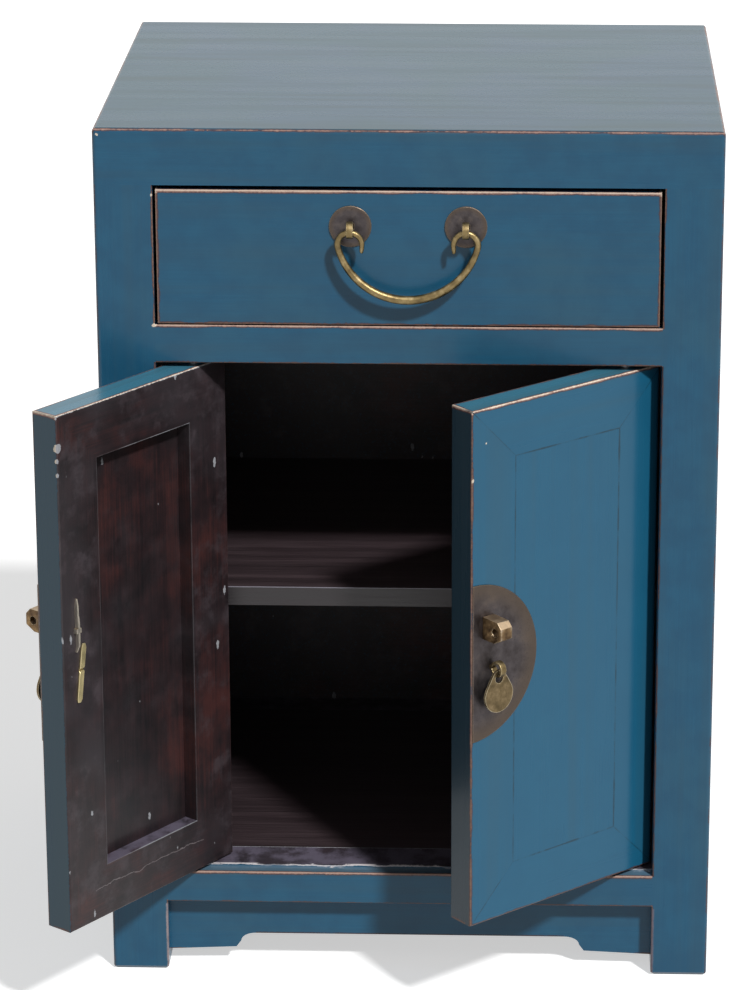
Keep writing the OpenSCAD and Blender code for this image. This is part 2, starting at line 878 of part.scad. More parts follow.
// Puts a door's piece, drawn closed about its pivot on the left, where the open door holds it
module at_door(side, opened) {
    mirror([side, 0, 0])
        translate([-pivot_x, pivot_y, 0])
            rotate([0, 0, -opened])
                children();
}

module door_pin_bores() {
    translate([0, 0, door_z - eps])
        cylinder(h = pin_in + eps, r = pin_dia / 2 + pin_fit);
    translate([0, 0, door_z + door_h - pin_in])
        cylinder(h = pin_in + eps, r = pin_dia / 2 + pin_fit);
}

// Groove round the inside of a door's frame
module door_groove() {
    g = tongue_l + joint_fit;
    in = door_frame_w - g;
    translate([door_x0 + in, door_y0 + door_panel_t - tongue_t - joint_fit, door_z + in])
        cube([door_w - 2 * in, tongue_t + 2 * joint_fit, door_h - 2 * in]);
}

module door_slots() {
    staple_slot(lug_x, lug_z);
    staple_slot(pull_x, pull_z);
}

// Part of a door's front face that one mitred member covers: 0 hinge, 1 bottom, 2 lock, 3 top
module door_mitre(which) {
    x0 = door_x0;
    x1 = door_x1;
    z0 = door_z;
    z1 = door_z + door_h;
    f = door_frame_w;
    outer = [[x0, z1], [x0, z0], [x1, z0], [x1, z1]];
    inner = [[x0 + f, z1 - f], [x0 + f, z0 + f], [x1 - f, z0 + f], [x1 - f, z1 - f]];
    after = (which + 1) % 4;
    translate([0, door_y1 + over, 0])
        rotate([90, 0, 0])
            linear_extrude(door_t + 2 * over)
                polygon([outer[which], outer[after], inner[after], inner[which]]);
}

// Solid door with rounded outer edges, before it is split into its members
module door_blank() {
    e = door_edge_r;
    intersection() {
        translate([door_x0, door_y0, door_z])
            linear_extrude(door_h)
                soft_rect([door_w, door_t], [door_heel_r, e, e, e]);
        translate([door_x1, door_y0, door_z])
            rotate([90, 0, -90])
                linear_extrude(door_w)
                    mirror([1, 0])
                        soft_rect([door_t, door_h], [e, e, e, e]);
    }
}

module door_member(which) {
    color(lacquer)
        difference() {
            intersection() {
                door_blank();
                door_mitre(which);
            }
            door_groove();
            door_pin_bores();
            door_slots();
        }
}

module door_panel() {
    f = door_frame_w;
    t = tongue_l;
    color(lacquer) {
        translate([door_x0 + f, door_y0, door_z + f])
            cube([door_w - 2 * f, door_panel_t, door_h - 2 * f]);
        translate([door_x0 + f - t, door_y0 + door_panel_t - tongue_t, door_z + f - t])
            cube([door_w - 2 * (f - t), tongue_t, door_h - 2 * (f - t)]);
    }
}

module door_pivots() {
    collar = door_low_gap - collar_gap;
    color(steel) {
        translate([0, 0, board_top - pin_out])
            cylinder(h = pin_out + door_low_gap + pin_in, d = pin_dia);
        translate([0, 0, door_z - collar])
            cylinder(h = collar, r = pin_dia / 2 + collar_out);
        translate([0, 0, door_z + door_h - pin_in])
            cylinder(h = pin_in + door_top_gap + pin_out, d = pin_dia);
    }
}

module lock_plate() {
    color(bronze)
        difference() {
            translate([door_x1 - lock_plate_in, door_y0, plate_z])
                rotate([90, 0, 0])
                    linear_extrude(lock_plate_t)
                        intersection() {
                            circle(lock_plate_r, $fn = 96);
                            translate([-lock_plate_r, -lock_plate_r])
                                square([lock_plate_r, 2 * lock_plate_r]);
                        }
            door_slots();
        }
}

// Lug seen from the free edge: u runs out from the plate
module lug_profile() {
    h = lug_h / 2;
    polygon([
        [0, -h],
        [lug_l - lug_low_cut, -h],
        [lug_l, -lug_tip_h / 2],
        [lug_l, lug_tip_h / 2],
        [lug_l - lug_high_cut, h],
        [0, h]
    ]);
}

module lock_lug() {
    color(brass)
        translate([lug_x, plate_y, lug_z]) {
            difference() {
                translate([-lug_w / 2, 0, 0])
                    rotate([0, 0, -90])
                        rotate([90, 0, 0])
                            translate([0, 0, -lug_w])
                                linear_extrude(lug_w)
                                    lug_profile();
                translate([0, -lug_hole_out, 0])
                    rotate([0, 90, 0])
                        cylinder(h = lug_w + 2 * over, d = lug_hole, center = true);
            }
            translate([-strap_w / 2, -over, -strap_t])
                cube([strap_w, door_t + lock_plate_t + leg_rise + over, 2 * strap_t]);
            translate([-strap_t / 2, door_t + lock_plate_t, -lug_leg_down])
                cube([strap_t, leg_rise, lug_leg_up + lug_leg_down]);
        }
}

module pendant_staple() {
    color(brass)
        translate([pull_x, pull_y, pull_z])
            staple(pull_eye_r, pull_standoff + lock_plate_t + door_t, leg_up, leg_down, -leg_lean_deg);
}

// Pear-shaped pull that hangs on the staple's eye
module pendant() {
    color(brass)
        translate([pull_x, pull_y, pull_z - pendant_drop])
            rotate([90, 0, 0])
                translate([0, 0, -pendant_t / 2])
                    linear_extrude(pendant_t)
                        difference() {
                            union() {
                                circle(pendant_top_r);
                                translate([0, -pendant_gap])
                                    circle(pendant_low_r);
                                pendant_flanks();
                            }
                            circle(d = pendant_hole);
                        }
}

// Straight flanks that join both circles of the pear shape, just inside their common tangents
module pendant_flanks() {
    lean = asin((pendant_low_r - pendant_top_r) / pendant_gap);
    x = cos(lean);
    z = sin(lean);
    top_r = pendant_top_r - flank_in;
    low_r = pendant_low_r - flank_in;
    polygon([
        [-top_r * x, top_r * z],
        [-low_r * x, -pendant_gap + low_r * z],
        [low_r * x, -pendant_gap + low_r * z],
        [top_r * x, top_r * z]
    ]);
}

post(0, 0);  // left_front_post
post(1, 0);  // right_front_post
post(0, 1);  // left_rear_post
post(1, 1);  // right_rear_post
top_front_rail();
top_rear_rail();
top_side_rail(0);  // top_left_rail
top_side_rail(1);  // top_right_rail
top_panel();
top_batten();
middle_front_rail();
middle_rear_rail();
bottom_front_rail();
bottom_rear_rail();
bottom_side_rail(0);  // bottom_left_rail
bottom_side_rail(1);  // bottom_right_rail
apron(2 * open_x, front_y);  // front_apron
rotate([0, 0, -90]) apron(2 * post_y, -body_w / 2);  // left_apron
rotate([0, 0, 90]) apron(2 * post_y, -body_w / 2);  // right_apron
side_panel(0);  // left_side_panel
side_panel(1);  // right_side_panel
back_panel(drawer_z, top_z);  // upper_back_panel
back_panel(bottom_z, door_open_top);  // lower_back_panel
bottom_board();
shelf_board();
shelf_cleat(0);  // left_shelf_cleat
shelf_cleat(1);  // right_shelf_cleat
drawer_runner(0);  // left_drawer_runner
drawer_runner(1);  // right_drawer_runner
drawer_front();
drawer_side(0);  // drawer_left_side
drawer_side(1);  // drawer_right_side
drawer_back();
drawer_bottom();
bail_plate(-1);  // left_bail_plate
bail_plate(1);  // right_bail_plate
bail_staple(-1);  // left_bail_staple
bail_staple(1);  // right_bail_staple
drawer_bail();
at_door(0, left_open_deg) door_member(0);  // left_door_hinge_stile
at_door(0, left_open_deg) door_member(1);  // left_door_bottom_rail
at_door(0, left_open_deg) door_member(2);  // left_door_lock_stile
at_door(0, left_open_deg) door_member(3);  // left_door_top_rail
at_door(0, left_open_deg) door_panel();  // left_door_panel
at_door(0, left_open_deg) door_pivots();  // left_door_pivots
at_door(0, left_open_deg) lock_plate();  // left_lock_plate
at_door(0, left_open_deg) lock_lug();  // left_lock_lug
at_door(0, left_open_deg) pendant_staple();  // left_pendant_staple
at_door(0, left_open_deg) pendant();  // left_pendant
at_door(1, right_open_deg) door_member(0);  // right_door_hinge_stile
at_door(1, right_open_deg) door_member(1);  // right_door_bottom_rail
at_door(1, right_open_deg) door_member(2);  // right_door_lock_stile
at_door(1, right_open_deg) door_member(3);  // right_door_top_rail
at_door(1, right_open_deg) door_panel();  // right_door_panel
at_door(1, right_open_deg) door_pivots();  // right_door_pivots
at_door(1, right_open_deg) lock_plate();  // right_lock_plate
at_door(1, right_open_deg) lock_lug();  // right_lock_lug
at_door(1, right_open_deg) pendant_staple();  // right_pendant_staple
at_door(1, right_open_deg) pendant();  // right_pendant
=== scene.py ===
import math
from functools import partial
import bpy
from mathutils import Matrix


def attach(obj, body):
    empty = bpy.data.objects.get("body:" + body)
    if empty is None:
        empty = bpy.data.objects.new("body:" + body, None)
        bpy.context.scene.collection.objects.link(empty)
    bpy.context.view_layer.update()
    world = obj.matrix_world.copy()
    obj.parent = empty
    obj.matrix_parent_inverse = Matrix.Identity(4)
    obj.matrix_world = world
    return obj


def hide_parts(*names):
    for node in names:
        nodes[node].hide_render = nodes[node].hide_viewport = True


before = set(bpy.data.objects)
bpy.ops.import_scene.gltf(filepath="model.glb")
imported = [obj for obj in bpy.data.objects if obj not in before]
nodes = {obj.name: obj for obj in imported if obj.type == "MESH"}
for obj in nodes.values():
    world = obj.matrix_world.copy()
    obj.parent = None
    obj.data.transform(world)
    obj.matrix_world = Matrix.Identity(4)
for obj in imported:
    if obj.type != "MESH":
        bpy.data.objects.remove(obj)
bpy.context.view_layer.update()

from types import SimpleNamespace

import bmesh
import bpy
from mathutils import Euler, Matrix, Vector

mm = 0.001
print("frame loaded:", len(nodes), "nodes")


def linear(hexText):  # "#rrggbb" as seen on a screen, to the linear colour a shader takes
    parts = [int(hexText[i:i + 2], 16) / 255 for i in (1, 3, 5)]
    return [c / 12.92 if c <= 0.04045 else ((c + 0.055) / 1.055) ** 2.4 for c in parts] + [1.0]


# settings: the node's own options, or one word for its operation; inputs: by number or name, each a value, a
# colour, a socket or another node, whose first output in use is taken
def addNode(tree, kind, settings=None, inputs=None):
    node = tree.nodes.new("ShaderNode" + kind)
    if isinstance(settings, str):
        settings = {"operation": settings}
    for key, value in (settings or {}).items():
        if key != "stops":
            setattr(node, key, value)
            continue
        ramp = node.color_ramp
        for i, (place, tone) in enumerate(value):
            stop = ramp.elements[i] if i < 2 else ramp.elements.new(place)
            stop.position, stop.color = place, linear(tone)
    pairs = inputs.items() if isinstance(inputs, dict) else enumerate(inputs or [])
    for key, value in pairs:
        if isinstance(value, bpy.types.Node):
            value = next(socket for socket in value.outputs if socket.enabled)
        if isinstance(value, bpy.types.NodeSocket):
            tree.links.new(value, node.inputs[key])
        else:
            node.inputs[key].default_value = linear(value) if isinstance(value, str) else value
    return node


def newMaterial(name):
    material = bpy.data.materials.new(name)
    material.use_nodes = True
    material.node_tree.nodes.clear()
    return material, partial(addNode, material.node_tree)


def dress(piece, material):  # one finish for a CAD node or a modelled piece
    piece.data.materials.clear()
    piece.data.materials.append(material)


cameraLook = {
    "place": (0.0979, -3.099, 1.426),
    "down": 17.68,  # degrees
    "left": 1.63,
    "lens": 140.75,
    "sensor": 36.0,
    "shift": (-0.0574, -0.1),
    "clip": (0.05, 100.0),
}
cameraData = bpy.data.cameras.new("camera")
cameraData.sensor_width = cameraLook["sensor"]
cameraData.lens = cameraLook["lens"]
cameraData.shift_x, cameraData.shift_y = cameraLook["shift"]
cameraData.clip_start, cameraData.clip_end = cameraLook["clip"]
camera = bpy.data.objects.new("camera", cameraData)
camera.location = cameraLook["place"]
camera.rotation_euler = Euler((math.radians(90 - cameraLook["down"]), 0, math.radians(cameraLook["left"])))
bpy.context.scene.collection.objects.link(camera)
bpy.context.scene.camera = camera
print("camera placed")

smooth = {"interpolation_type": "SMOOTHSTEP"}
blend = {"data_type": "RGBA"}
deep = {"noise_dimensions": "4D"}

# Gloss lacquer brushed over elm and rubbed down: an even deep blue with faint clouds and hardly a brush line, worn
# through on every arris to its red-brown undercoat and then to tan wood, with a painted highlight where an arris faces
# up. The inner sides have a thin dark stain instead: near black with reddish patches, grey scuffs and pale specks, a
# painted highlight along their arrises, and dust mixed with a painted sky reflection on faces that look up.
lacquerLook = {
    "blue": ["#174c68", "#194f6b", "#1b526e"],  # dark, middle and light lines of the brush
    "door": "#165774",  # the doors' coat, thicker and greener
    "dull": "#274e61",  # tone of the larger clouds
    "deep": "#14435f",  # tone of the smaller ones
    "streak": "#3f4844",  # broad strokes where the coat is thin
    "undercoat": "#41292a",
    # painted highlight: the bare wood on an arris that faces up is lighter and its core paler; the pale tone is also
    # that of chips
    "wood": "#664b41",
    "litUpperWood": "#8e7066",
    "pale": "#dccdb9",
    "stain": ["#100f11", "#23191b", "#3b2221"],
    "haze": "#433c40",
    # dust tone: also a painted sky reflection on stained faces that look up
    "dustAndSheen": "#625c6b",
    # scuff: the tone of real scuffs and specks, and of the painted highlight along the stained arrises
    "scuff": "#a4a6ab",
    "caseTop": "#234c59",
    "topPatch": "#2a4d68",
    "frontBand": "#1d4763",
    # painted reflection: the bottom front rail's upper face made lighter, as a glossy ledge that shows the sky
    "railTopReflection": "#567082",
    # painted reflection: the doors' top faces lighter and more teal
    "doorTopReflection": "#3d7185",
    # the doors' free edges in slate, the right one darker still as painted shade
    "leftFreeEdge": "#1f343e",
    "rightFreeEdge": "#1d292f",
    "seam": "#102f3d",
    "grainLong": 60.0,  # mm along the grain between changes
    "grainWide": 1.3,  # mm across the grain
    "stroke": 12.0,  # how much broader than the grain a brush stroke is
    "topStroke": 0.35,  # how long a stroke on the top is beside the others
    "cloud": 95.0,  # mm
    "rub": 24.0,  # mm, of the uneven hand that rubbed the coat down
    "grit": 1.8,  # mm
    "smudge": 22.0,  # mm
    "upperBand": (3.5, 2.0),  # mm below a part's upper face where wear starts to count as an upper arris's, and does
    "topWear": 0.9,  # mm that an upper arris is worn wider than the others
    "raggedWear": 1.5,  # mm that the grit moves the edge of the wear
    "chipSpace": 34.0,  # mm between possible chips
    "chipRare": 0.86,  # share of the possible chips that stay whole
    "speckSpace": 9.0,  # mm between possible specks on the stained side
    "speckRare": 0.84,
    "speckDrawn": (1.0, 1.0, 0.4),  # specks are drawn out upwards
    "jointLine": (0.3, 0.85),  # mm from a joint between which its line fades
    "jointWander": 2.4,  # mm
}


def insideBox(add, place, low, high):  # signed depth in mm inside a box, from a point in mm
    nearest = add("VectorMath", "MINIMUM", [add("VectorMath", "SUBTRACT", [place, low]),
                                            add("VectorMath", "SUBTRACT", [high, place])])
    x, y, z = add("SeparateXYZ", {}, [nearest]).outputs
    return add("Math", "MINIMUM", [add("Math", "MINIMUM", [x, y]), z])


# What the layers of one lacquer share: the place in mm as a vector and as three numbers, the distance in mm to the
# nearest arris of the box, how far the place belongs to the upper face, and the noises
def layGround(add, box, grain, seed, coatSeed, turn):
    look = lacquerLook
    scale, angle, shift = turn or ((1, 1, 1), 0.0, (0, 0, 0))
    place = add("Mapping", {}, {"Vector": add("TexCoord").outputs["Object"], "Scale": [s / mm for s in scale],
                                "Rotation": (0, 0, angle), "Location": shift})
    spot = add("SeparateXYZ", {}, [place]).outputs

    low, high = box
    centre = [(a + b) / 2 for a, b in zip(low, high)]
    half = [(b - a) / 2 for a, b in zip(low, high)]
    local = add("VectorMath", "SUBTRACT", [place, centre])
    room = add("VectorMath", "SUBTRACT", [half, add("VectorMath", "ABSOLUTE", [local])])
    x, y, z = add("SeparateXYZ", {}, [room]).outputs
    arris = add("Math", "MAXIMUM", [add("Math", "MINIMUM", [x, y]),
                                    add("Math", "MINIMUM", [add("Math", "MAXIMUM", [x, y]), z])])
    upper = add("MapRange", smooth, [spot[2], *(high[2] - band for band in look["upperBand"])])

    squeeze = [1.0 / look["grainWide"]] * 3
    squeeze[grain] = 1.0 / look["grainLong"]
    along = add("VectorMath", "MULTIPLY", [local, squeeze])
    ground = SimpleNamespace(place=place, spot=spot, arris=arris, upper=upper)
    ground.fine = add("TexNoise", deep, {"Vector": along, "W": seed, "Scale": 1.0, "Detail": 3.0, "Roughness": 0.6})
    for noise, step, detail, roughness in (("cloud", 7, 3, 0.5), ("rub", 13, 5, 0.62), ("grit", 19, 3, 0.5),
                                           ("smudge", 23, 6, 0.68)):
        size = look[noise]
        setattr(ground, noise, add("TexNoise", deep, {"Vector": place, "W": (coatSeed + step + 0.37) * size,
                                                      "Scale": 1 / size, "Detail": detail, "Roughness": roughness}))
    ground.gritty = add("Math", "SUBTRACT", [ground.grit, 0.5])
    return ground


def brushCoat(add, ground, grain, coatSeed, tints, flatTop):
    look = lacquerLook
    clouded = add("MapRange", smooth, [ground.cloud, 0.42, 0.72, 0.0, 0.45])
    deepened = add("MapRange", smooth, [ground.rub, 0.38, 0.66, 0.0, 0.5])
    coat = add("ValToRGB", {"stops": list(zip((0.3, 0.5, 0.7), look["blue"]))}, [ground.fine])
    coat = add("Mix", blend, {0: clouded, 6: coat, 7: look["dull"]})
    coat = add("Mix", blend, {0: deepened, 6: coat, 7: look["deep"]})
    for low, high, tone, share, soft in tints:
        within = add("MapRange", smooth, [insideBox(add, ground.place, low, high), 0.0, soft, 0.0, share])
        coat = add("Mix", blend, {0: within, 6: coat, 7: tone})

    brushed = [1.0 / (look["grainWide"] * look["stroke"])] * 3
    brushed[grain] = 1.0 / (look["grainLong"] * look["stroke"])
    thinnest = 0.5
    if flatTop:  # the whole top was brushed lengthwise in one go, and rubbed down unevenly
        brushed = [1.0 / (look["grainLong"] * look["stroke"] * look["topStroke"])] + [
            1.0 / (look["grainWide"] * look["stroke"])] * 2
        thinnest = 0.32
        bluer = add("MapRange", smooth, [ground.cloud, 0.42, 0.62, 0.0, 0.5])
        coat = add("Mix", blend, {0: add("Math", "MULTIPLY", [ground.upper, bluer]), 6: coat, 7: look["topPatch"]})
    strokes = add("TexNoise", deep, {"Vector": add("VectorMath", "MULTIPLY", [ground.place, brushed]),
                                     "W": coatSeed + 31.3, "Scale": 1.0, "Detail": 3.0})
    thin = add("Math", "MULTIPLY", [add("MapRange", smooth, [strokes, 0.46, 0.7]),
                                    add("MapRange", smooth, [ground.upper, 0.0, 1.0, 0.14, thinnest])])
    return add("Mix", blend, {0: thin, 6: coat, 7: look["streak"]}), strokes


def wearEdges(add, ground, coat, wear, calm):
    look = lacquerLook
    least, most, topHighlight = wear
    ragged = add("Math", "MULTIPLY_ADD", [ground.gritty, look["raggedWear"], ground.arris])
    if calm:
        folded = add("VectorMath", "ABSOLUTE", [ground.place])
        for low, high in calm:
            hidden = add("MapRange", smooth, [insideBox(add, folded, low, high), 0.0, 1.0, 0.0, 9.0])
            ragged = add("Math", "ADD", [ragged, hidden])
    width = add("Math", "MULTIPLY_ADD", [ground.upper, look["topWear"],
                                         add("MapRange", smooth, [ground.rub, 0.36, 0.6, least, most])])
    share = add("Math", "DIVIDE", [ragged, width])  # 0 on the arris, 1 where the coat is whole again
    under, bare, highlight = [add("MapRange", smooth, [share, outer, inner])
                             for outer, inner in ((1.3, 0.8), (0.8, 0.5), (0.45, 0.2))]
    # painted highlight: where an arris faces up, its bare wood turns lighter and its core pale
    wood = add("Mix", blend, {0: ground.upper, 6: look["wood"], 7: look["litUpperWood"]})
    lit = add("Math", "MULTIPLY", [highlight, add("MapRange", smooth, [ground.upper, 0.0, 1.0, 0.1, topHighlight])])
    wood = add("Mix", blend, {0: lit, 6: wood, 7: look["pale"]})
    coat = add("Mix", blend, {0: add("Math", "MULTIPLY", [under, 0.85]), 6: coat, 7: look["undercoat"]})
    return add("Mix", blend, {0: bare, 6: coat, 7: wood}), bare, highlight


def knockChips(add, ground, coat, coatSeed, knocks):
    look = lacquerLook
    cells = add("TexVoronoi", {"voronoi_dimensions": "4D"}, {"Vector": ground.place, "W": coatSeed,
                                                            "Scale": 1 / look["chipSpace"]})
    luck = add("SeparateColor", {}, [cells.outputs["Color"]])
    chip = add("Math", "GREATER_THAN", [add("MapRange", smooth, [luck, look["chipRare"], 1.0, 0.0, 0.045]),
                                        cells.outputs["Distance"]])
    for point, radius in knocks:
        reach = add("Math", "MULTIPLY_ADD", [ground.gritty, 3.0, add("VectorMath", "DISTANCE", [ground.place, point])])
        chip = add("Math", "MAXIMUM", [chip, add("MapRange", smooth, [reach, radius + 0.3, radius - 0.3])])
    return add("Mix", blend, {0: add("Math", "MULTIPLY", [chip, 0.8]), 6: coat, 7: look["pale"]}), chip


# Broken hair lines in the coat over the joints of a mitred frame with a flush panel. frameBox: the two axes that the
# frame lies along, its centre, half sizes and the width of its members in mm, and how dark the lines are
def drawJoints(add, ground, coat, frameBox):
    look = lacquerLook
    axes, frameCentre, frameHalf, member, strength = frameBox
    off = [add("Math", "ABSOLUTE", [add("Math", "SUBTRACT", [ground.spot[axis], middle])])
           for axis, middle in zip(axes, frameCentre)]
    u, v = [add("Math", "SUBTRACT", [half, side]) for half, side in zip(frameHalf, off)]
    outline = add("Math", "MINIMUM", [u, v])
    inner = add("Math", "ABSOLUTE", [add("Math", "SUBTRACT", [outline, member])])
    onPanel = add("Math", "GREATER_THAN", [outline, member])
    mitre = add("Math", "ADD", [add("Math", "ABSOLUTE", [add("Math", "SUBTRACT", [u, v])]),
                                add("Math", "MULTIPLY_ADD", [onPanel, 50.0, 0.1])])
    wander = add("Math", "MULTIPLY", [add("Math", "SUBTRACT", [ground.rub, 0.5]), look["jointWander"]])
    joint = add("Math", "ADD", [add("Math", "MINIMUM", [inner, mitre]), wander])
    line = add("Math", "MULTIPLY", [add("MapRange", smooth, [joint, *look["jointLine"], strength, 0.0]),
                                    add("MapRange", smooth, [ground.smudge, 0.4, 0.56, 0.15, 1.0])])
    return add("Mix", blend, {0: line, 6: coat, 7: look["seam"]}), outline, inner


# Dark stain within some boxes. joints: the width of a frame's members and the distances to its outline and to its
# inner joints, or nothing; freeX: the part's side away from the hinge in mm, where the pale joint lines, partly a
# painted highlight, fade
def stainInside(add, ground, coat, coatSeed, stainBoxes, joints, freeX, highlight, chip):
    look = lacquerLook
    depths = [insideBox(add, ground.place, low, high) for low, high in stainBoxes]
    depth = depths[0] if len(depths) == 1 else add("Math", "MAXIMUM", depths)
    dark = add("MapRange", smooth, [add("Math", "MULTIPLY_ADD", [ground.gritty, 1.2, depth]), -0.2, 0.4])
    patches = add("Math", "MULTIPLY_ADD", [ground.cloud, 0.4, add("Math", "MULTIPLY", [ground.rub, 0.35])])
    patches = add("Math", "MULTIPLY_ADD", [ground.fine, 0.25, patches])
    stain = add("ValToRGB", {"stops": list(zip((0.42, 0.52, 0.62), look["stain"]))}, [patches])
    dusty = add("Math", "ADD", [add("MapRange", smooth, [ground.smudge, 0.47, 0.7, 0.0, 0.54]),
                                add("MapRange", smooth, [ground.cloud, 0.35, 0.55, 0.405, 0.0])])
    crease = 0.0
    if joints:
        member, outline, inner = joints
        dusty = add("Math", "MULTIPLY", [dusty, add("MapRange", smooth, [outline, member - 6, member + 3, 1.0, 0.3])])
        # pale lines in the recess joints: partly dust and partly a painted highlight, fading towards the free side
        crease = add("Math", "MULTIPLY", [add("MapRange", smooth, [inner, 0.2, 0.75, 0.6, 0.0]),
                                          add("MapRange", smooth, [ground.smudge, 0.36, 0.52, 0.35, 1.0])])
        for share in (add("MapRange", smooth, [depths[0], 0.0, 0.4]),
                      add("MapRange", smooth, [ground.spot[0], freeX - 60, freeX - 90, 0.2, 1.0])):
            crease = add("Math", "MULTIPLY", [crease, share])
    stain = add("Mix", blend, {0: dusty, 6: stain, 7: look["haze"]})

    # dust mixed with a painted sky reflection on stained faces that look up
    lying = add("SeparateXYZ", {}, [add("NewGeometry").outputs["Normal"]]).outputs[2]
    settledAndSheen = add("Math", "MULTIPLY", [add("MapRange", smooth, [lying, 0.8, 0.95, 0.0, 0.8]),
                                       add("MapRange", smooth, [ground.smudge, 0.38, 0.6, 0.15, 1.0])])
    stain = add("Mix", blend, {0: settledAndSheen, 6: stain, 7: look["dustAndSheen"]})

    drawnOut = add("VectorMath", "MULTIPLY_ADD", [ground.place, look["speckDrawn"], [coatSeed * 7.3] * 3])
    specks = add("TexVoronoi", {}, {"Vector": drawnOut, "Scale": 1 / look["speckSpace"]})
    luck = add("SeparateColor", {}, [specks.outputs["Color"]])
    beyond = add("Math", "SUBTRACT", [add("Math", "MULTIPLY_ADD", [ground.gritty, 0.25, specks.outputs["Distance"]]),
                                      add("MapRange", smooth, [luck, look["speckRare"], 1.0, -0.05, 0.19])])
    speck = add("MapRange", smooth, [beyond, -0.02, 0.03, 1.0, 0.0])
    # pale marks: a painted highlight along the arrises, strongest where one faces up, with the real chips, specks and
    # joint lines
    paleMarks = add("Math", "MULTIPLY", [highlight, add("MapRange", smooth, [ground.upper, 0.0, 1.0, 0.3, 0.9])])
    for other in (add("Math", "MULTIPLY", [add("Math", "MAXIMUM", [chip, speck]), 0.7]), crease):
        paleMarks = add("Math", "MAXIMUM", [paleMarks, other])
    stain = add("Mix", blend, {0: paleMarks, 6: stain, 7: look["scuff"]})
    return add("Mix", blend, {0: dark, 6: coat, 7: stain}), dark


# marks: axis that the line is measured on, low and high corner of its box, its level, wandering and half width in
# mm, tone and share
def drawMarks(add, ground, coat, marks):
    for axis, low, high, level, wobble, wide, tone, share in marks:
        off = add("Math", "MULTIPLY_ADD", [add("Math", "SUBTRACT", [ground.rub, 0.5]), wobble,
                                           add("Math", "SUBTRACT", [ground.spot[axis], level])])
        off = add("Math", "MULTIPLY_ADD", [ground.gritty, wide, add("Math", "ABSOLUTE", [off])])
        mark = add("MapRange", smooth, [off, wide * 0.7, wide * 1.2, share, 0.0])
        for part in (add("MapRange", smooth, [insideBox(add, ground.place, low, high), 0.0, 0.6]),
                     add("MapRange", smooth, [ground.smudge, 0.38, 0.52, 0.35, 1.0])):
            mark = add("Math", "MULTIPLY", [mark, part])
        coat = add("Mix", blend, {0: mark, 6: coat, 7: tone})
    return coat


# box: low and high corner in mm of the block whose arrises wear; grain: 0 along x, 1 y, 2 z; coatSeed: the same for
# all that was lacquered as one; turn: scale, angle and shift into the frame that the box is given in; wear: least
# and most width of the worn band in mm, and how strong its painted highlight is where an arris faces up; calm: boxes,
# folded about x = 0 and y = 0, where a flush joint hides an arris; tints: box, tone, share and soft edge in mm; knocks:
# point and radius in mm of a larger pale spot: a chip, and on the case also a painted highlight
def lacquer(name, box, grain, seed, coatSeed, turn, stainBoxes, frameBox, wear, calm, tints, knocks, marks):
    material, add = newMaterial(name)
    ground = layGround(add, box, grain, seed, coatSeed, turn)
    coat, strokes = brushCoat(add, ground, grain, coatSeed, tints, frameBox is topFrame)
    coat, bare, highlight = wearEdges(add, ground, coat, wear, calm)
    coat, chip = knockChips(add, ground, coat, coatSeed, knocks)
    joints = None
    if frameBox:
        coat, outline, inner = drawJoints(add, ground, coat, frameBox)
        joints = frameBox[3], outline, inner
    coat, dark = stainInside(add, ground, coat, coatSeed, stainBoxes, joints, box[1][0], highlight, chip)
    coat = drawMarks(add, ground, coat, marks)

    rough = add("MapRange", smooth, [strokes, 0.3, 0.7, 0.25, 0.31])
    for layer, more in ((bare, 0.3), (dark, 0.12)):
        rough = add("Math", "MULTIPLY_ADD", [layer, more, rough])
    relief = add("Math", "SUBTRACT", [add("Math", "MULTIPLY", [ground.fine, 0.008]),
                                      add("Math", "MULTIPLY", [bare, 0.14])])
    bump = add("Bump", {}, {"Strength": 0.3, "Distance": 0.0006, "Height": relief})
    shader = add("BsdfPrincipled", {}, {"Base Color": coat, "Roughness": rough, "Normal": bump, "IOR": 1.5,
                                        "Specular IOR Level": 0.25, "Coat Weight": 0.08, "Coat Roughness": 0.12})
    add("OutputMaterial", {}, {"Surface": shader})
    return material


def nodeBox(name, turn=None):  # box in mm of a node, in the row frame or in a turned frame
    scale, angle, shift = turn or ((1, 1, 1), 0.0, (0, 0, 0))
    spin = Matrix.Rotation(angle, 3, "Z")
    points = [spin @ Vector([s * c / mm for s, c in zip(scale, v.co)]) + Vector(shift)
              for v in nodes[name].data.vertices]
    return [min(p[i] for p in points) for i in range(3)], [max(p[i] for p in points) for i in range(3)]


def widened(box, low, high):  # moves faces outwards where a flush neighbour hides their arrises
    return [a - g for a, g in zip(box[0], low)], [b + g for b, g in zip(box[1], high)]


# sizes that the wood's finish follows, in mm
caseSize = {"halfX": 245.0, "halfY": 196.0, "top": 715.0, "postS": 46.0, "openX": 199.0, "innerX": 232.0,
            "innerY": 183.0, "stepY": -184.0, "floorZ": 89.0, "topZ": 670.0}
c = caseSize
away = 60.0  # far enough to leave an arris out
clear, above = 300, 800  # both past the case
caseStain = [
    ([-c["innerX"] - 0.4, -150.4, c["floorZ"] - 0.6], [c["innerX"] + 0.4, c["innerY"] + 0.4, c["topZ"] + 0.3]),
    ([-c["openX"] - 0.4, c["stepY"] - 0.3, c["floorZ"] + 1.2],
     [c["openX"] + 0.4, c["innerY"] + 0.4, c["topZ"] + 0.3]),
]
drawerStain = [([-clear, -177.5, 500], [clear, -100, 700])]
postJoints = [
    ([c["openX"] - 9, -250, 526.2], [c["openX"] + 3, 250, 556.8]),
    ([c["openX"] - 9, -250, 63.2], [c["openX"] + 3, 250, 88.8]),
    ([-250, 150 - 9, 63.2], [250, 150 + 3, 88.8]),
]
railJoints = [([c["openX"] - 0.6, 149.4, 655.0], [260, 260, 685.0])]
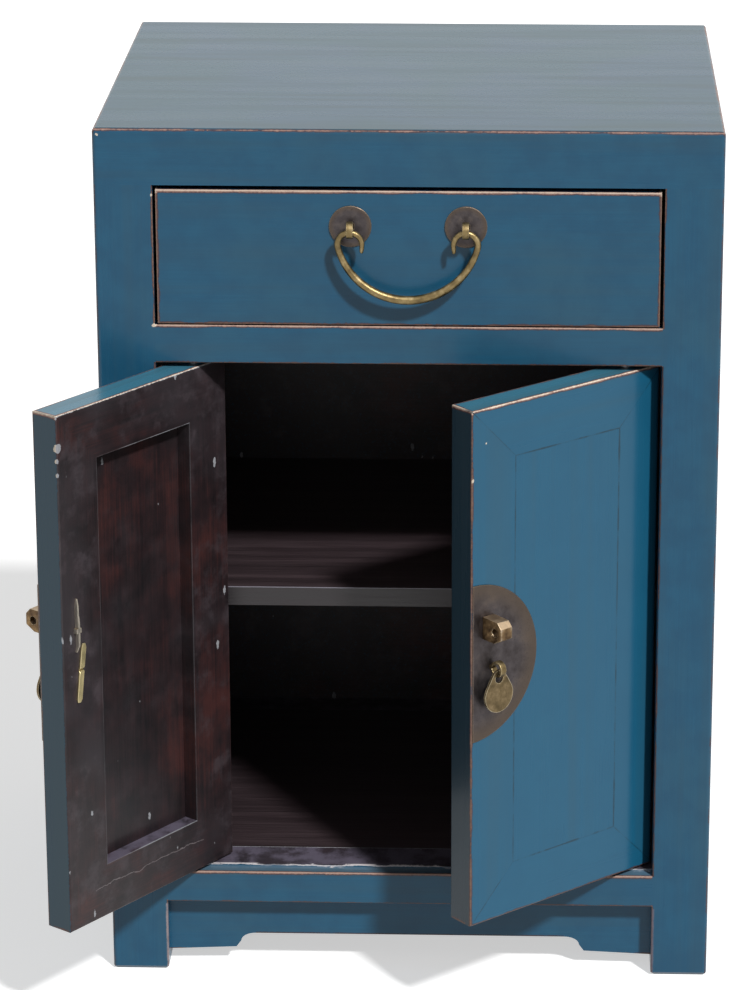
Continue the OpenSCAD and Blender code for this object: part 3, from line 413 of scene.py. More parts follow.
topFrame = ((0, 1), (0.0, 0.0), (c["halfX"], c["halfY"]), c["postS"], 0.14)
# a chip at the top's front left corner, and painted highlights at the drawer opening's left corners
caseChipsAndGlints = [((-241.0, -196.0, 710.0), 1.1), ((-199.5, -196.0, 662.0), 1.1), ((-199.5, -196.0, 556.5), 1.6)]
caseTints = [  # the top, its front band, and a painted sky reflection on the bottom front rail's upper face
    ([-clear, -clear, c["top"] - 0.6], [clear, clear, above], lacquerLook["caseTop"], 0.85, 0.3),
    ([-clear, -clear, c["top"] - 0.6], [clear, -c["halfY"] + 12, above], lacquerLook["frontBand"], 0.85, 6.0),
    ([-c["openX"] - 0.3, -c["halfY"] + 0.3, c["floorZ"] - 0.5],
     [c["openX"] + 0.3, c["stepY"] + 0.5, c["floorZ"] + 0.5], lacquerLook["railTopReflection"], 0.75, 0.3),
]
markLook = {"step": "#d9d2d2", "foot": "#95898b", "shadedFoot": "#625c66", "apron": "#3a2522", "crack": "#8a8183"}
woodMarks = {
    # pale line along the step's edge: partly worn lacquer and partly a painted highlight
    "bottom_front_rail": [(2, [-205, c["stepY"] - 2.5, 88.4], [205, c["stepY"] + 2.0, 92.0], 90.2, 5.0, 0.65,
                           markLook["step"], 0.85)],
    # the same pale line on the inner arris of both feet, with painted shade on the right one
    "left_front_post": [(0, [-202, -198, -1], [-195, -190, 60], -199.6, 2.0, 1.1, markLook["foot"], 0.75)],
    "right_front_post": [(0, [195, -198, -1], [203, -190, 60], 199.8, 2.0, 1.5, markLook["shadedFoot"], 0.75)],
    "front_apron": [(2, [-128, -183, 20], [128, -170, 33], 27.2, 0.0, 0.9, markLook["apron"], 0.85)],
    "left_door_bottom_rail": [(2, [10.0, 9.0, 90], [140.0, 12.0, 140], 119.0, 14.0, 0.38, markLook["crack"], 0.42)],
}

# node: grain axis, outward moves of its box at flush joints (low, high), wear, frame lines
edgeWear, plainWear, softWear = (0.6, 1.5, 0.3), (0.5, 1.3, 0.25), (0.4, 1.1, 0.2)
drawerWear, stepWear = (0.9, 2.1, 0.5), (0.5, 1.3, 0.15)
caseWood = {
    "left_front_post": (2, (0, 0, 0), (0, 0, away), edgeWear, None),
    "right_front_post": (2, (0, 0, 0), (0, 0, away), edgeWear, None),
    "left_rear_post": (2, (0, 0, 0), (0, 0, away), edgeWear, None),
    "right_rear_post": (2, (0, 0, 0), (0, 0, away), edgeWear, None),
    "top_front_rail": (0, (1, 0, away), (1, away, 0), edgeWear, topFrame),
    "top_rear_rail": (0, (1, away, away), (1, 0, 0), edgeWear, topFrame),
    "top_left_rail": (1, (0, 1, away), (away, 1, 0), edgeWear, topFrame),
    "top_right_rail": (1, (away, 1, away), (0, 1, 0), edgeWear, topFrame),
    "top_panel": (0, (away, away, 0), (away, away, 0), plainWear, topFrame),
    "middle_front_rail": (0, (away, 0, 0), (away, 0, 0), edgeWear, None),
    "middle_rear_rail": (0, (away, 0, 0), (away, 0, 0), plainWear, None),
    "bottom_front_rail": (0, (away, 0, 0), (away, 0, -2), stepWear, None),
    "bottom_rear_rail": (0, (away, 0, 0), (away, 0, 0), plainWear, None),
    "bottom_left_rail": (1, (0, away, 0), (0, away, 0), plainWear, None),
    "bottom_right_rail": (1, (0, away, 0), (0, away, 0), plainWear, None),
    "front_apron": (0, (away, 0, 0), (away, 0, away), edgeWear, None),
    "left_apron": (1, (0, away, 0), (0, away, away), plainWear, None),
    "right_apron": (1, (0, away, 0), (0, away, away), plainWear, None),
    "left_side_panel": (2, (0, away, away), (0, away, away), softWear, None),
    "right_side_panel": (2, (0, away, away), (0, away, away), softWear, None),
    "upper_back_panel": (0, (away, 0, away), (away, 0, away), softWear, None),
    "lower_back_panel": (0, (away, 0, away), (away, 0, away), softWear, None),
    "drawer_front": (0, (0, 0, 0), (0, 0, 0), drawerWear, None),
}
for i, (name, (grain, low, high, wear, lines)) in enumerate(caseWood.items()):
    coatSeed, stained = (60.0, drawerStain) if name == "drawer_front" else (0.0, caseStain)
    calm = postJoints if name.endswith("post") else railJoints if name.startswith("top") else ()
    dress(nodes[name], lacquer("blueLacquer_" + name, widened(nodeBox(name), low, high), grain, 3.1 * i, coatSeed, None,
                               stained, lines, wear, calm, caseTints, caseChipsAndGlints, woodMarks.get(name, ())))
print("case finished")

doorSize = {"x0": -26.0, "x1": 169.5, "y0": -14.5, "y1": 10.5, "z0": 93.0, "z1": 522.0, "frame": 44.0,
            "panelT": 12.0, "pivotX": 170.5, "pivotY": -181.5}
d = doorSize
doorPlaces = {"left": (1, 126.5), "right": (-1, 41.0)}  # mirrored or not, and degrees open
doorTurns = {}
for side, (flip, opened) in doorPlaces.items():
    angle = math.radians(opened)
    shift = -(Matrix.Rotation(angle, 3, "Z") @ Vector((-d["pivotX"], d["pivotY"], 0)))
    doorTurns[side] = ((flip, 1, 1), angle, tuple(shift))
doorStain = [
    ([d["x0"] + 0.6, d["y1"] - 0.9, d["z0"] + 0.6], [d["x1"] + 0.2, d["y1"] + 5, d["z1"] - 0.4]),
    ([d["x0"] + d["frame"] - 0.5, d["y0"] + d["panelT"] - 0.6, d["z0"] + d["frame"] - 0.5],
     [d["x1"] - d["frame"] + 0.5, d["y1"] + 5, d["z1"] - d["frame"] + 0.5]),
]
doorLines = ((0, 2), ((d["x0"] + d["x1"]) / 2, (d["z0"] + d["z1"]) / 2),
             ((d["x1"] - d["x0"]) / 2, (d["z1"] - d["z0"]) / 2), d["frame"], 0.85)
doorLow, doorHigh = [d["x0"] - 9, -50, 0], [d["x1"] + 9, 50, 600]  # past the door
doorTints = [
    (doorLow, doorHigh, lacquerLook["door"], 0.65, 0.5),
    # painted reflection on the doors' top faces
    ([*doorLow[:2], d["z1"] - 0.6], doorHigh, lacquerLook["doorTopReflection"], 0.9, 0.4),
]
doorKnocks = {
    "left": [((d["x1"] - 1.5, d["y1"], 496.0), 3.6), ((d["x1"], d["y1"], 485.5), 2.0),
             ((d["x1"], d["y1"], 474.5), 1.8)],
    "right": [((d["x1"] - 14.0, d["y0"], 494.0), 0.9), ((d["x1"] - 1.0, d["y0"], 466.0), 1.3)],
}
doorCalm = [([d["x1"] - 5, d["y1"] - 2.5, -10], [d["x1"] + 5, d["y1"] + 1.5, d["z1"] - 3])]
doorWear = (0.9, 1.9, 0.9)
doorWood = {  # grain, and the box's moves where the panel and the mitres hide an arris
    "door_hinge_stile": (2, (0, 0, 0), (away, 0, 0)),
    "door_lock_stile": (2, (away, 0, 0), (0, 0, 0)),
    "door_top_rail": (0, (0, 0, away), (0, 0, 0)),
    "door_bottom_rail": (0, (0, 0, 0), (0, 0, away)),
    "door_panel": (2, (away, 0, away), (away, 0, away)),
}
for j, side in enumerate(doorTurns):
    # slate tint on the free edge, with painted shade on the right door's
    freeEdge = ([d["x1"] - 0.4, *doorLow[1:]], doorHigh, lacquerLook[side + "FreeEdge"], 0.85, 0.3)
    for i, (part, (grain, low, high)) in enumerate(doorWood.items()):
        name = side + "_" + part
        box = widened(nodeBox(name, doorTurns[side]), low, high)
        dress(nodes[name], lacquer("doorLacquer_" + name, box, grain, 101.7 + 9.3 * j + 2.9 * i, 200.0 + 40.0 * j,
                                   doorTurns[side], doorStain, doorLines, doorWear, doorCalm, doorTints + [freeEdge],
                                   doorKnocks[side], woodMarks.get(name, ())))
print("doors finished")

# Boards inside: open-pored wood, planed and either stained nearly black, half matt, or left bare and pale; the shelf's
# front face has painted shade and its upper front arris a painted highlight line
insideLook = {
    "stain": ["#1a1315", "#2c2225", "#43373a"],
    "bare": ["#7c5f43", "#94734f", "#a98662"],
    # the next two tones: painted shade on the shelf's front face, and a painted highlight line along its upper front
    # arris
    "front": "#181719",
    "paleMarks": "#9a97a3",
    "grainLong": 70.0,  # mm
    "grainWide": 1.6,  # mm
    "figure": 8.0,  # how much broader than the grain the board's bands are
}


def plainWood(name, tones, grain, seed, gloss, front=None):  # front: y and z in mm of the front's upper arris, where a painted highlight line runs; it also gives the front face painted shade
    material, add = newMaterial(name)
    place = add("Mapping", {}, {"Vector": add("TexCoord").outputs["Object"], "Scale": [1 / mm] * 3})
    squeeze = [1.0 / insideLook["grainWide"]] * 3
    squeeze[grain] = 1.0 / insideLook["grainLong"]
    along = add("VectorMath", "MULTIPLY", [place, squeeze])
    fine = add("TexNoise", deep, {"Vector": along, "W": seed, "Scale": 1.0, "Detail": 4.0, "Roughness": 0.65})
    broad = add("TexNoise", deep, {"Vector": along, "W": seed + 5, "Scale": 1 / insideLook["figure"], "Detail": 3.0})
    mixed = add("Math", "MULTIPLY_ADD", [fine, 0.45, add("Math", "MULTIPLY", [broad, 0.55])])
    tone = add("ValToRGB", {"stops": list(zip((0.3, 0.5, 0.68), tones))}, [mixed])
    if front:
        # painted shade on the face that looks to the front, and a painted highlight line along the upper front arris
        facing = add("SeparateXYZ", {}, [add("NewGeometry").outputs["Normal"]]).outputs[1]
        y, z = [add("Math", "ABSOLUTE", [add("Math", "SUBTRACT", [p, at])])
                for p, at in zip(add("SeparateXYZ", {}, [place]).outputs[1:], front)]
        paintedFrontShade = add("MapRange", smooth, [facing, -0.9, -0.7, 0.75, 0.0])
        tone = add("Mix", blend, {0: paintedFrontShade, 6: tone, 7: insideLook["front"]})
        off = add("Math", "MULTIPLY_ADD", [fine, 0.8, add("Math", "MAXIMUM", [y, z])])
        paleMarks = add("MapRange", smooth, [off, 0.7, 1.2, 0.6, 0.0])
        tone = add("Mix", blend, {0: paleMarks, 6: tone, 7: insideLook["paleMarks"]})
    bump = add("Bump", {}, {"Strength": 0.5, "Distance": 0.0004, "Height": fine})
    rough = add("MapRange", smooth, [fine, 0.3, 0.7, gloss, gloss + 0.15])
    shader = add("BsdfPrincipled", {}, {"Base Color": tone, "Roughness": rough, "Normal": bump, "IOR": 1.5})
    add("OutputMaterial", {}, {"Surface": shader})
    return material


insideWood = {  # nodes, tones, grain axis, seed, roughness, and the front arris (painted shade on the front face, a painted highlight line on its arris)
    "stainedBoard": (["bottom_board"], "stain", 0, 2.0, 0.42),
    "stainedShelf": (["shelf_board"], "stain", 0, 2.0, 0.42, (-146.0, 320.0)),
    "stainedCleat": (["left_shelf_cleat", "right_shelf_cleat"], "stain", 1, 4.0, 0.5),
    "bareRunner": (["left_drawer_runner", "right_drawer_runner", "top_batten"], "bare", 1, 6.0, 0.62),
    "bareDrawerSide": (["drawer_left_side", "drawer_right_side"], "bare", 1, 8.0, 0.6),
    "bareDrawerBoard": (["drawer_back", "drawer_bottom"], "bare", 0, 10.0, 0.6),
}
for name, (members, tones, *rest) in insideWood.items():
    finish = plainWood(name, insideLook[tones], *rest)
    for member in members:
        dress(nodes[member], finish)
print("inner boards finished")

# Old metal, drawn, cast or cut from sheet and never polished again: half-matt, with blotches of brown skin, dark
# grime in its pits and bright rubbed edges; the lug has a painted highlight on faces that look up
metalLook = {  # tones, tone of rubbed edges, roughness, sizes in mm of blotches and pits
    "brass": (["#5b4e37", "#7f6e4c", "#ad9c78"], "#dacfb3", 0.3, 9.0, 0.9),
    "cast": (["#4c412d", "#6a5b42", "#89775b"], "#dacfb3", 0.4, 7.0, 1.4),
    "lug": (["#3d2e22", "#6d583f", "#9a7f5b"], "#dacfb3", 0.36, 8.0, 1.0),
    "bailPlate": (["#363131", "#4c4748", "#645c59"], "#a8937a", 0.42, 11.0, 1.1),
    "lockPlate": (["#363131", "#4c4748", "#645c59"], "#a8937a", 0.42, 16.0, 1.2),
    "steel": (["#6f7072", "#8b8c8e", "#a2a3a5"], "#b4b5b7", 0.35, 20.0, 1.2),
}
metalTones = {"plateRim": "#554a40", "lugTopHighlight": "#c4ad90", "lugLeg": "#d8d1c5", "stapleLeg": "#ead9a4",
              "grime": "#2a2320"}


# hub: a point, two distances from it in mm, and the tone that the metal takes between them; the last argument: the
# tone of a painted highlight on faces that look up
def metal(name, kind, seed, hub=None, highlight=None):
    tones, paleMarks, roughness, blotch, pit = metalLook[kind]
    material, add = newMaterial(name)
    place = add("Mapping", {}, {"Vector": add("TexCoord").outputs["Object"], "Scale": [1 / mm] * 3})
    skin = add("TexNoise", deep, {"Vector": place, "W": seed, "Scale": 1 / blotch, "Detail": 5.0, "Roughness": 0.6})
    fine = add("TexNoise", deep, {"Vector": place, "W": seed + 3, "Scale": 1 / pit, "Detail": 3.0})
    patchy = add("Math", "SUBTRACT", [skin, 0.5])
    tone = add("ValToRGB", {"stops": list(zip((0.32, 0.52, 0.72), tones))}, [skin])
    if hub:
        point, near, far, hubTone = hub
        reach = add("Math", "MULTIPLY_ADD", [patchy, far - near, add("VectorMath", "DISTANCE", [place, point])])
        tone = add("Mix", blend, {0: add("MapRange", smooth, [reach, near, far, 0.0, 0.75]), 6: tone, 7: hubTone})
    normal = add("NewGeometry").outputs["Normal"]
    # painted highlight on faces that look up
    if highlight:
        lying = add("SeparateXYZ", {}, [normal]).outputs[2]
        tone = add("Mix", blend, {0: add("MapRange", smooth, [lying, 0.3, 0.8, 0.0, 0.8]), 6: tone, 7: highlight})
    alike = add("VectorMath", "DOT_PRODUCT", [add("Bevel", {"samples": 6}, {"Radius": 0.9 * mm}), normal])
    edge = add("MapRange", smooth, [add("Math", "MULTIPLY_ADD", [patchy, 0.12, alike]), 0.8, 0.97, 0.8, 0.0])
    tone = add("Mix", blend, {0: edge, 6: tone, 7: paleMarks})
    pitted = add("MapRange", smooth, [fine, 0.6, 0.78, 0.0, 0.45])
    tone = add("Mix", blend, {0: pitted, 6: tone, 7: metalTones["grime"]})
    rough = add("Math", "ADD", [add("MapRange", smooth, [skin, 0.3, 0.7, roughness, roughness + 0.18]),
                                add("MapRange", smooth, [fine, 0.5, 0.8, 0.0, 0.15])])
    bump = add("Bump", {}, {"Strength": 0.4, "Distance": 0.0003, "Height": fine})
    shader = add("BsdfPrincipled", {}, {"Base Color": tone, "Roughness": rough, "Normal": bump, "Metallic": 1.0})
    add("OutputMaterial", {}, {"Surface": shader})
    return material


agedBrass = metal("agedDrawnBrass", "brass", 1.0)
castBrass = metal("stippledCastBrass", "cast", 21.0)
pinSteel = metal("turnedSteel", "steel", 9.0)
for side in doorPlaces:
    dress(nodes[side + "_door_pivots"], pinSteel)
print("metals finished")


def startPiece():
    if bpy.context.object and bpy.context.object.mode != "OBJECT":
        bpy.ops.object.mode_set(mode="OBJECT")
    bpy.ops.object.select_all(action="DESELECT")


def startEdit():
    bpy.ops.object.mode_set(mode="EDIT")
    bpy.ops.mesh.select_all(action="SELECT")


def choose(piece):
    startPiece()
    bpy.context.view_layer.objects.active = piece
    piece.select_set(True)


def settle():  # a piece's place, turn and size go into its mesh
    bpy.ops.object.transform_apply(location=True, rotation=True, scale=True)
    return bpy.context.object


def addBlock(place, size):  # both in mm
    startPiece()
    bpy.ops.mesh.primitive_cube_add(size=1, location=Vector(place) * mm, scale=Vector(size) * mm)
    return settle()


def addRound(sides, radius, depth, place, turn=(math.pi / 2, 0, 0)):  # sizes in mm; lies along y, unless turned
    startPiece()
    bpy.ops.mesh.primitive_cylinder_add(vertices=sides, radius=radius * mm, depth=depth * mm,
                                        location=Vector(place) * mm, rotation=turn)
    return settle()


def pick(kind, test):  # selects corners by their place, or faces by their middle and normal, in mm
    bpy.ops.mesh.select_mode(type=kind)
    bpy.ops.mesh.select_all(action="DESELECT")
    mesh = bmesh.from_edit_mesh(bpy.context.object.data)
    if kind == "FACE":
        for f in mesh.faces:
            f.select_set(bool(test(f.calc_center_median() / mm, f.normal)))
    else:
        for v in mesh.verts:
            v.select_set(bool(test(v.co / mm)))
    mesh.select_flush_mode()
    bmesh.update_edit_mesh(bpy.context.object.data)


def pull(x, y, z):  # draws a new stretch out of what is selected, in mm
    bpy.ops.mesh.extrude_region_move(TRANSFORM_OT_translate={"value": Vector((x, y, z)) * mm})


def move(x, y, z):
    bpy.ops.transform.translate(value=Vector((x, y, z)) * mm)


def closeMesh(angle=35):
    bpy.ops.mesh.select_mode(type="VERT")
    bpy.ops.mesh.select_all(action="SELECT")
    bpy.ops.mesh.remove_doubles(threshold=0.02 * mm)
    bpy.ops.mesh.normals_make_consistent(inside=False)
    bpy.ops.object.mode_set(mode="OBJECT")
    settle()
    bpy.ops.object.shade_smooth_by_angle(angle=math.radians(angle))
    return bpy.context.object


def cut(piece, tool):  # takes the tool's shape out of the piece
    modifier = piece.modifiers.new("cut", "BOOLEAN")
    modifier.operation, modifier.object, modifier.solver = "DIFFERENCE", tool, "EXACT"
    choose(piece)
    bpy.ops.object.modifier_apply(modifier="cut")
    bpy.data.objects.remove(tool, do_unlink=True)


def bevelAll(piece, width, segments=2, angle=35):
    modifier = piece.modifiers.new("ease", "BEVEL")
    modifier.width, modifier.segments, modifier.angle_limit = width * mm, segments, math.radians(angle)
    modifier.limit_method = "ANGLE"
    choose(piece)
    bpy.ops.object.modifier_apply(modifier="ease")
    bpy.ops.object.shade_smooth_by_angle(angle=math.radians(40))


def putCopy(piece, name, matrix, body, node, finish):
    copy = piece.copy()
    copy.data = piece.data.copy()
    copy.name = name
    bpy.context.scene.collection.objects.link(copy)
    copy.data.transform(matrix)
    choose(copy)
    startEdit()
    bpy.ops.mesh.normals_make_consistent(inside=False)
    bpy.ops.object.mode_set(mode="OBJECT")
    dress(copy, finish)
    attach(copy, body)
    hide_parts(node)


# Strap bent in the plane x = 0, from the tip of its upper clinched leg round the eye to the lower leg's tip
strapLook = {"width": 5.2, "thick": 1.6, "bend": 1.7, "tip": 0.55, "tipThick": 0.6, "tipLong": 3.0, "slit": 0.1,
             "ease": 0.28}


def bentStrap(name, eyeR, reach, up, down, lean):
    s = strapLook
    ring = eyeR - s["thick"] / 2
    half = (s["thick"] + s["slit"]) / 2
    bent = half + s["bend"]
    far = math.sqrt((ring + s["bend"]) ** 2 - bent ** 2)
    lift = math.atan2(bent, far)
    corner = reach + s["thick"] / 2 - s["bend"]
    quarter = math.pi / 2
    startPiece()
    bpy.ops.mesh.primitive_plane_add(size=1, location=(0, (reach + s["thick"] / 2) * mm, (bent + up) * mm))
    settle()
    startEdit()

    def turn(y, z, angle, steps):
        bpy.ops.mesh.spin(steps=steps, angle=-angle, center=(0, y * mm, z * mm), axis=(1, 0, 0))

    bpy.ops.transform.resize(value=(s["width"] * mm * s["tip"], s["thick"] * mm * s["tipThick"], 1))
    pull(0, 0, -s["tipLong"])
    bpy.ops.transform.resize(value=(1 / s["tip"], 1 / s["tipThick"], 1))
    pull(0, 0, -(up - s["tipLong"]))
    turn(corner, bent, -quarter, 5)
    pull(0, far - corner, 0)
    turn(far, bent, -(quarter - lift), 4)
    turn(0, 0, 2 * (math.pi - lift), 26)
    turn(far, -bent, -(quarter - lift), 4)
    pull(0, corner - far, 0)
    turn(corner, -bent, -quarter, 5)
    pull(0, 0, -(down - s["tipLong"]))
    pull(0, 0, -s["tipLong"])
    bpy.ops.transform.resize(value=(s["tip"], s["tipThick"], 1))
    for side in (1, -1):
        pick("VERT", lambda p: p.y > reach - 0.2 and side * p.z > 2.0)
        bpy.ops.transform.rotate(value=math.radians(-lean), orient_axis="Y", center_override=(0, reach * mm, 0))
    piece = closeMesh()
    piece.name = name
    bevelAll(piece, s["ease"])
    return piece


# Bail plates: thin cut discs, slightly crowned, with a chamfered rim and a slot for the strap
bailLook = {
    "span": 90.0,
    "plateR": 16.5,
    "disc": 1.1,
    "crown": ((0.45, 0.3), (0.9, 0.0), (4.0, 0.14), (5.0, 0.06)),  # how far in and how far out each ring goes
    "slot": (6.2, 6.0, 4.4),
    "rimFrom": 11.5,
    "z": 638.25,
    "frontY": -196.0,
    "eyeY": -208.0,
    "eyeR": 6.8,
    "reach": 32.0,
    "leg": 12.0,
}
b = bailLook
bailPlate = addRound(72, b["plateR"], b["disc"], (0, -b["disc"] / 2, 0))
startEdit()
for inset, out in b["crown"]:
    pick("FACE", lambda p, n: n.y < -0.95 and p.xz.length < 2.0)
    bpy.ops.mesh.inset(thickness=inset * mm, depth=0)
    move(0, -out, 0)
closeMesh(30)
cut(bailPlate, addBlock((0, 0, 0), b["slot"]))
bailStaple = bentStrap("bailStaple", b["eyeR"], b["reach"], b["leg"], b["leg"], 0)
for side, x in (("left", -b["span"] / 2), ("right", b["span"] / 2)):
    centre = (x, b["frontY"], b["z"])
    plateSheet = metal("bailPlateSheet_" + side, "bailPlate", 5.0 + x,
                       (centre, b["rimFrom"], b["plateR"], metalTones["plateRim"]))
    putCopy(bailPlate, side + "BailPlate", Matrix.Translation(Vector(centre) * mm), "drawer",
            side + "_bail_plate", plateSheet)
    putCopy(bailStaple, side + "BailStaple", Matrix.Translation(Vector((x, b["eyeY"], b["z"])) * mm), "drawer",
            side + "_bail_staple", agedBrass)

# Bail: cast rod, thickest at the bottom of the bow and drawn out thin at the tips of its hooks
rodLook = {
    "hookX": 45.0,
    "hookZ": 626.71,
    "hookR": 9.5,
    "bowZ": 638.43,
    "bowR": 56.0,
    "turn": 14.6,  # degrees that a hook goes on past its half circle
    "tipZ": 620.6,
    "tips": ((0.9, -0.6, 0.9), (0.5, 0.0, 1.5)),  # mm towards the hook's middle, mm up, and the rod's radius
    "neck": (0.1, 1.85),
    "drawn": 2.1,  # radii of the rod where a hook starts, at the hook's end, in the bow, and towards the drawer
    "hookThick": 2.55,
    "bowThick": 3.5,
    "backR": 2.3,
    "hookSteps": 18,
    "thickBy": 8,
    "bowSteps": 16,
}
r = rodLook
endX = r["hookR"] - r["hookX"]
halfPath = [(endX - inset, r["tipZ"] + up, thick) for inset, up, thick in r["tips"]]
halfPath.append((endX - r["neck"][0], (r["tipZ"] + r["hookZ"]) / 2, r["neck"][1]))
for i in range(r["hookSteps"] + 1):
    a = math.radians(i * (180 + r["turn"]) / r["hookSteps"])
    thick = r["drawn"] + (r["hookThick"] - r["drawn"]) * min(1, i / r["thickBy"])
    halfPath.append((-r["hookX"] + r["hookR"] * math.cos(a), r["hookZ"] + r["hookR"] * math.sin(a), thick))
for i in range(1, r["bowSteps"] + 1):
    a = math.radians(180 + r["turn"] + i * (90 - r["turn"]) / r["bowSteps"])
    thick = r["hookThick"] + (r["bowThick"] - r["hookThick"]) * math.sin(math.pi / 2 * i / r["bowSteps"])
    halfPath.append((r["bowR"] * math.cos(a), r["bowZ"] + r["bowR"] * math.sin(a), thick))
path = halfPath + [(-x, z, thick) for x, z, thick in reversed(halfPath[:-1])]
startPiece()
bpy.ops.curve.primitive_nurbs_path_add()
rod = bpy.context.object
rod.name = "drawerBail"
rod.data.splines.clear()
spline = rod.data.splines.new("POLY")
spline.points.add(len(path) - 1)
for point, (x, z, thick) in zip(spline.points, path):
    proud = thick - r["backR"] if thick > r["hookThick"] else 0  # the bow thickens away from the drawer
    point.co = (x * mm, (b["eyeY"] - proud) * mm, z * mm, 1)
    point.radius = thick
rod.data.bevel_depth = mm
rod.data.bevel_resolution = 6
rod.data.use_fill_caps = True
bpy.ops.object.convert(target="MESH")
rod = bpy.context.object
startEdit()
closeMesh(50)
dress(rod, agedBrass)
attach(rod, "bail")
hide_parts("drawer_bail")

# Lock fittings, drawn on the closed left door about its pivot
lockLook = {
    "x": 168.5, "z": 315.5, "r": 65.0, "t": 1.2, "chamfer": (0.35, 0.3), "rimFrom": 44.0, "rimTo": 64.0,
    "faceY": -14.5, "innerY": 10.5,
    "lugX": 153.5, "lugZ": 344.5, "lugW": 11.5, "lugH": 18.5, "lugL": 22.0, "tipH": 9.0, "lowCut": 8.5,
    "highCut": 4.5, "hole": 6.6, "holeOut": 14.5, "lugEase": 0.45,
    "tangT": 3.6, "legUp": 26.0, "legDown": 19.0, "legRise": 3.2, "legT": 1.9, "legCuts": 6,
    "paleFrom": 23.5, "paleTo": 25.5,  # from the lug's foot, where its brown skin ends on the inner side
    "pullX": 149.5, "pullY": -23.7, "pullZ": 310.5, "pullEye": 6.5, "pullUp": 19.0, "pullDown": 24.0,
    "pullLean": -8.0, "brightFrom": 31.0, "brightTo": 33.0,
}
k = lockLook
startPiece()
bpy.ops.mesh.primitive_circle_add(vertices=128, radius=k["r"] * mm, fill_type="NGON", location=(0, 0, 0),
                                  rotation=(math.pi / 2, 0, 0))
settle()
startEdit()
bpy.ops.mesh.bisect(plane_co=(0, 0, 0), plane_no=(1, 0, 0), clear_outer=True)
bpy.ops.mesh.select_all(action="SELECT")
bpy.ops.mesh.normals_make_consistent(inside=False)
bpy.ops.mesh.select_all(action="SELECT")
inset, rise = k["chamfer"]
pull(0, -(k["t"] - rise), 0)
bpy.ops.mesh.inset(thickness=inset * mm, depth=0)
move(0, -rise, 0)
lockPlate = closeMesh(20)

addBlock((0, -k["lugL"] / 2, 0), (k["lugW"], k["lugL"], k["lugH"]))
startEdit()
pick("FACE", lambda p, n: n.y < -0.9)
move(0, k["lowCut"], 0)
pull(0, -k["lowCut"], 0)
pick("VERT", lambda p: p.y < -k["lugL"] + 0.1 and p.z < 0)
move(0, 0, (k["lugH"] - k["tipH"]) / 2)
pick("VERT", lambda p: p.y < -k["lugL"] + 0.1 and p.z > k["lugH"] / 2 - 0.1)
move(0, 0, -(k["lugH"] - k["tipH"]) / 2)
pick("VERT", lambda p: abs(p.y + k["lugL"] - k["lowCut"]) < 0.1 and p.z > 0)
move(0, -(k["lowCut"] - k["highCut"]), 0)
lug = closeMesh(20)
cut(lug, addRound(36, k["hole"] / 2, 3 * k["lugW"], (0, -k["holeOut"], 0), (0, math.pi / 2, 0)))
bevelAll(lug, k["lugEase"], 2, 30)

legY = k["innerY"] - k["faceY"] + k["t"]
tang = addBlock((0, (legY + k["legRise"]) / 2, 0), (strapLook["width"], legY + k["legRise"], k["tangT"]))
legs = addBlock((0, legY + k["legRise"] / 2, (k["legUp"] - k["legDown"]) / 2),
                (k["legT"], k["legRise"], k["legUp"] + k["legDown"]))
startEdit()
bpy.ops.mesh.subdivide(number_cuts=k["legCuts"])
for test, shift, size in (  # tips first, then what lies between them and the tang
    (lambda p: p.z > k["legUp"] - 1, (0, 0, 0), (0.5, 0.45, 1)),
    (lambda p: p.z < -k["legDown"] + 1, (2.4, 0, 1.2), (0.6, 0.45, 1)),
    (lambda p: 10 < p.z < k["legUp"] - 1, (0.5, 0, 0), (0.9, 0.9, 1)),
    (lambda p: -k["legDown"] + 1 < p.z < -9, (-0.3, 0, 0), (0.9, 0.9, 1)),
):
    pick("VERT", test)
    move(*shift)
    bpy.ops.transform.resize(value=size, center_override=(0, legY * mm, 0))
closeMesh(30)
startPiece()
for part in (tang, legs, lug):
    part.select_set(True)
bpy.context.view_layer.objects.active = lug
bpy.ops.object.join()

pullStaple = bentStrap("pullStaple", k["pullEye"], k["innerY"] - k["pullY"], k["pullUp"], k["pullDown"],
                       k["pullLean"])

# Pendant: pear-shaped cut sheet with a drilled hole, hung on the staple's eye
pearLook = {"topR": 6.8, "lowR": 14.0, "gap": 14.2, "t": 2.0, "hole": 8.0, "drop": 7.5, "ease": 0.4}
g = pearLook
upper = addRound(72, g["topR"], g["t"], (0, 0, 0))
pendant = addRound(72, g["lowR"], g["t"], (0, 0, -g["gap"]))
upper.select_set(True)
bpy.ops.object.join()
startEdit()
bpy.ops.mesh.convex_hull()
closeMesh(30)
cut(pendant, addRound(48, g["hole"] / 2, 4 * g["t"], (0, 0, 0)))
bevelAll(pendant, g["ease"], 3)

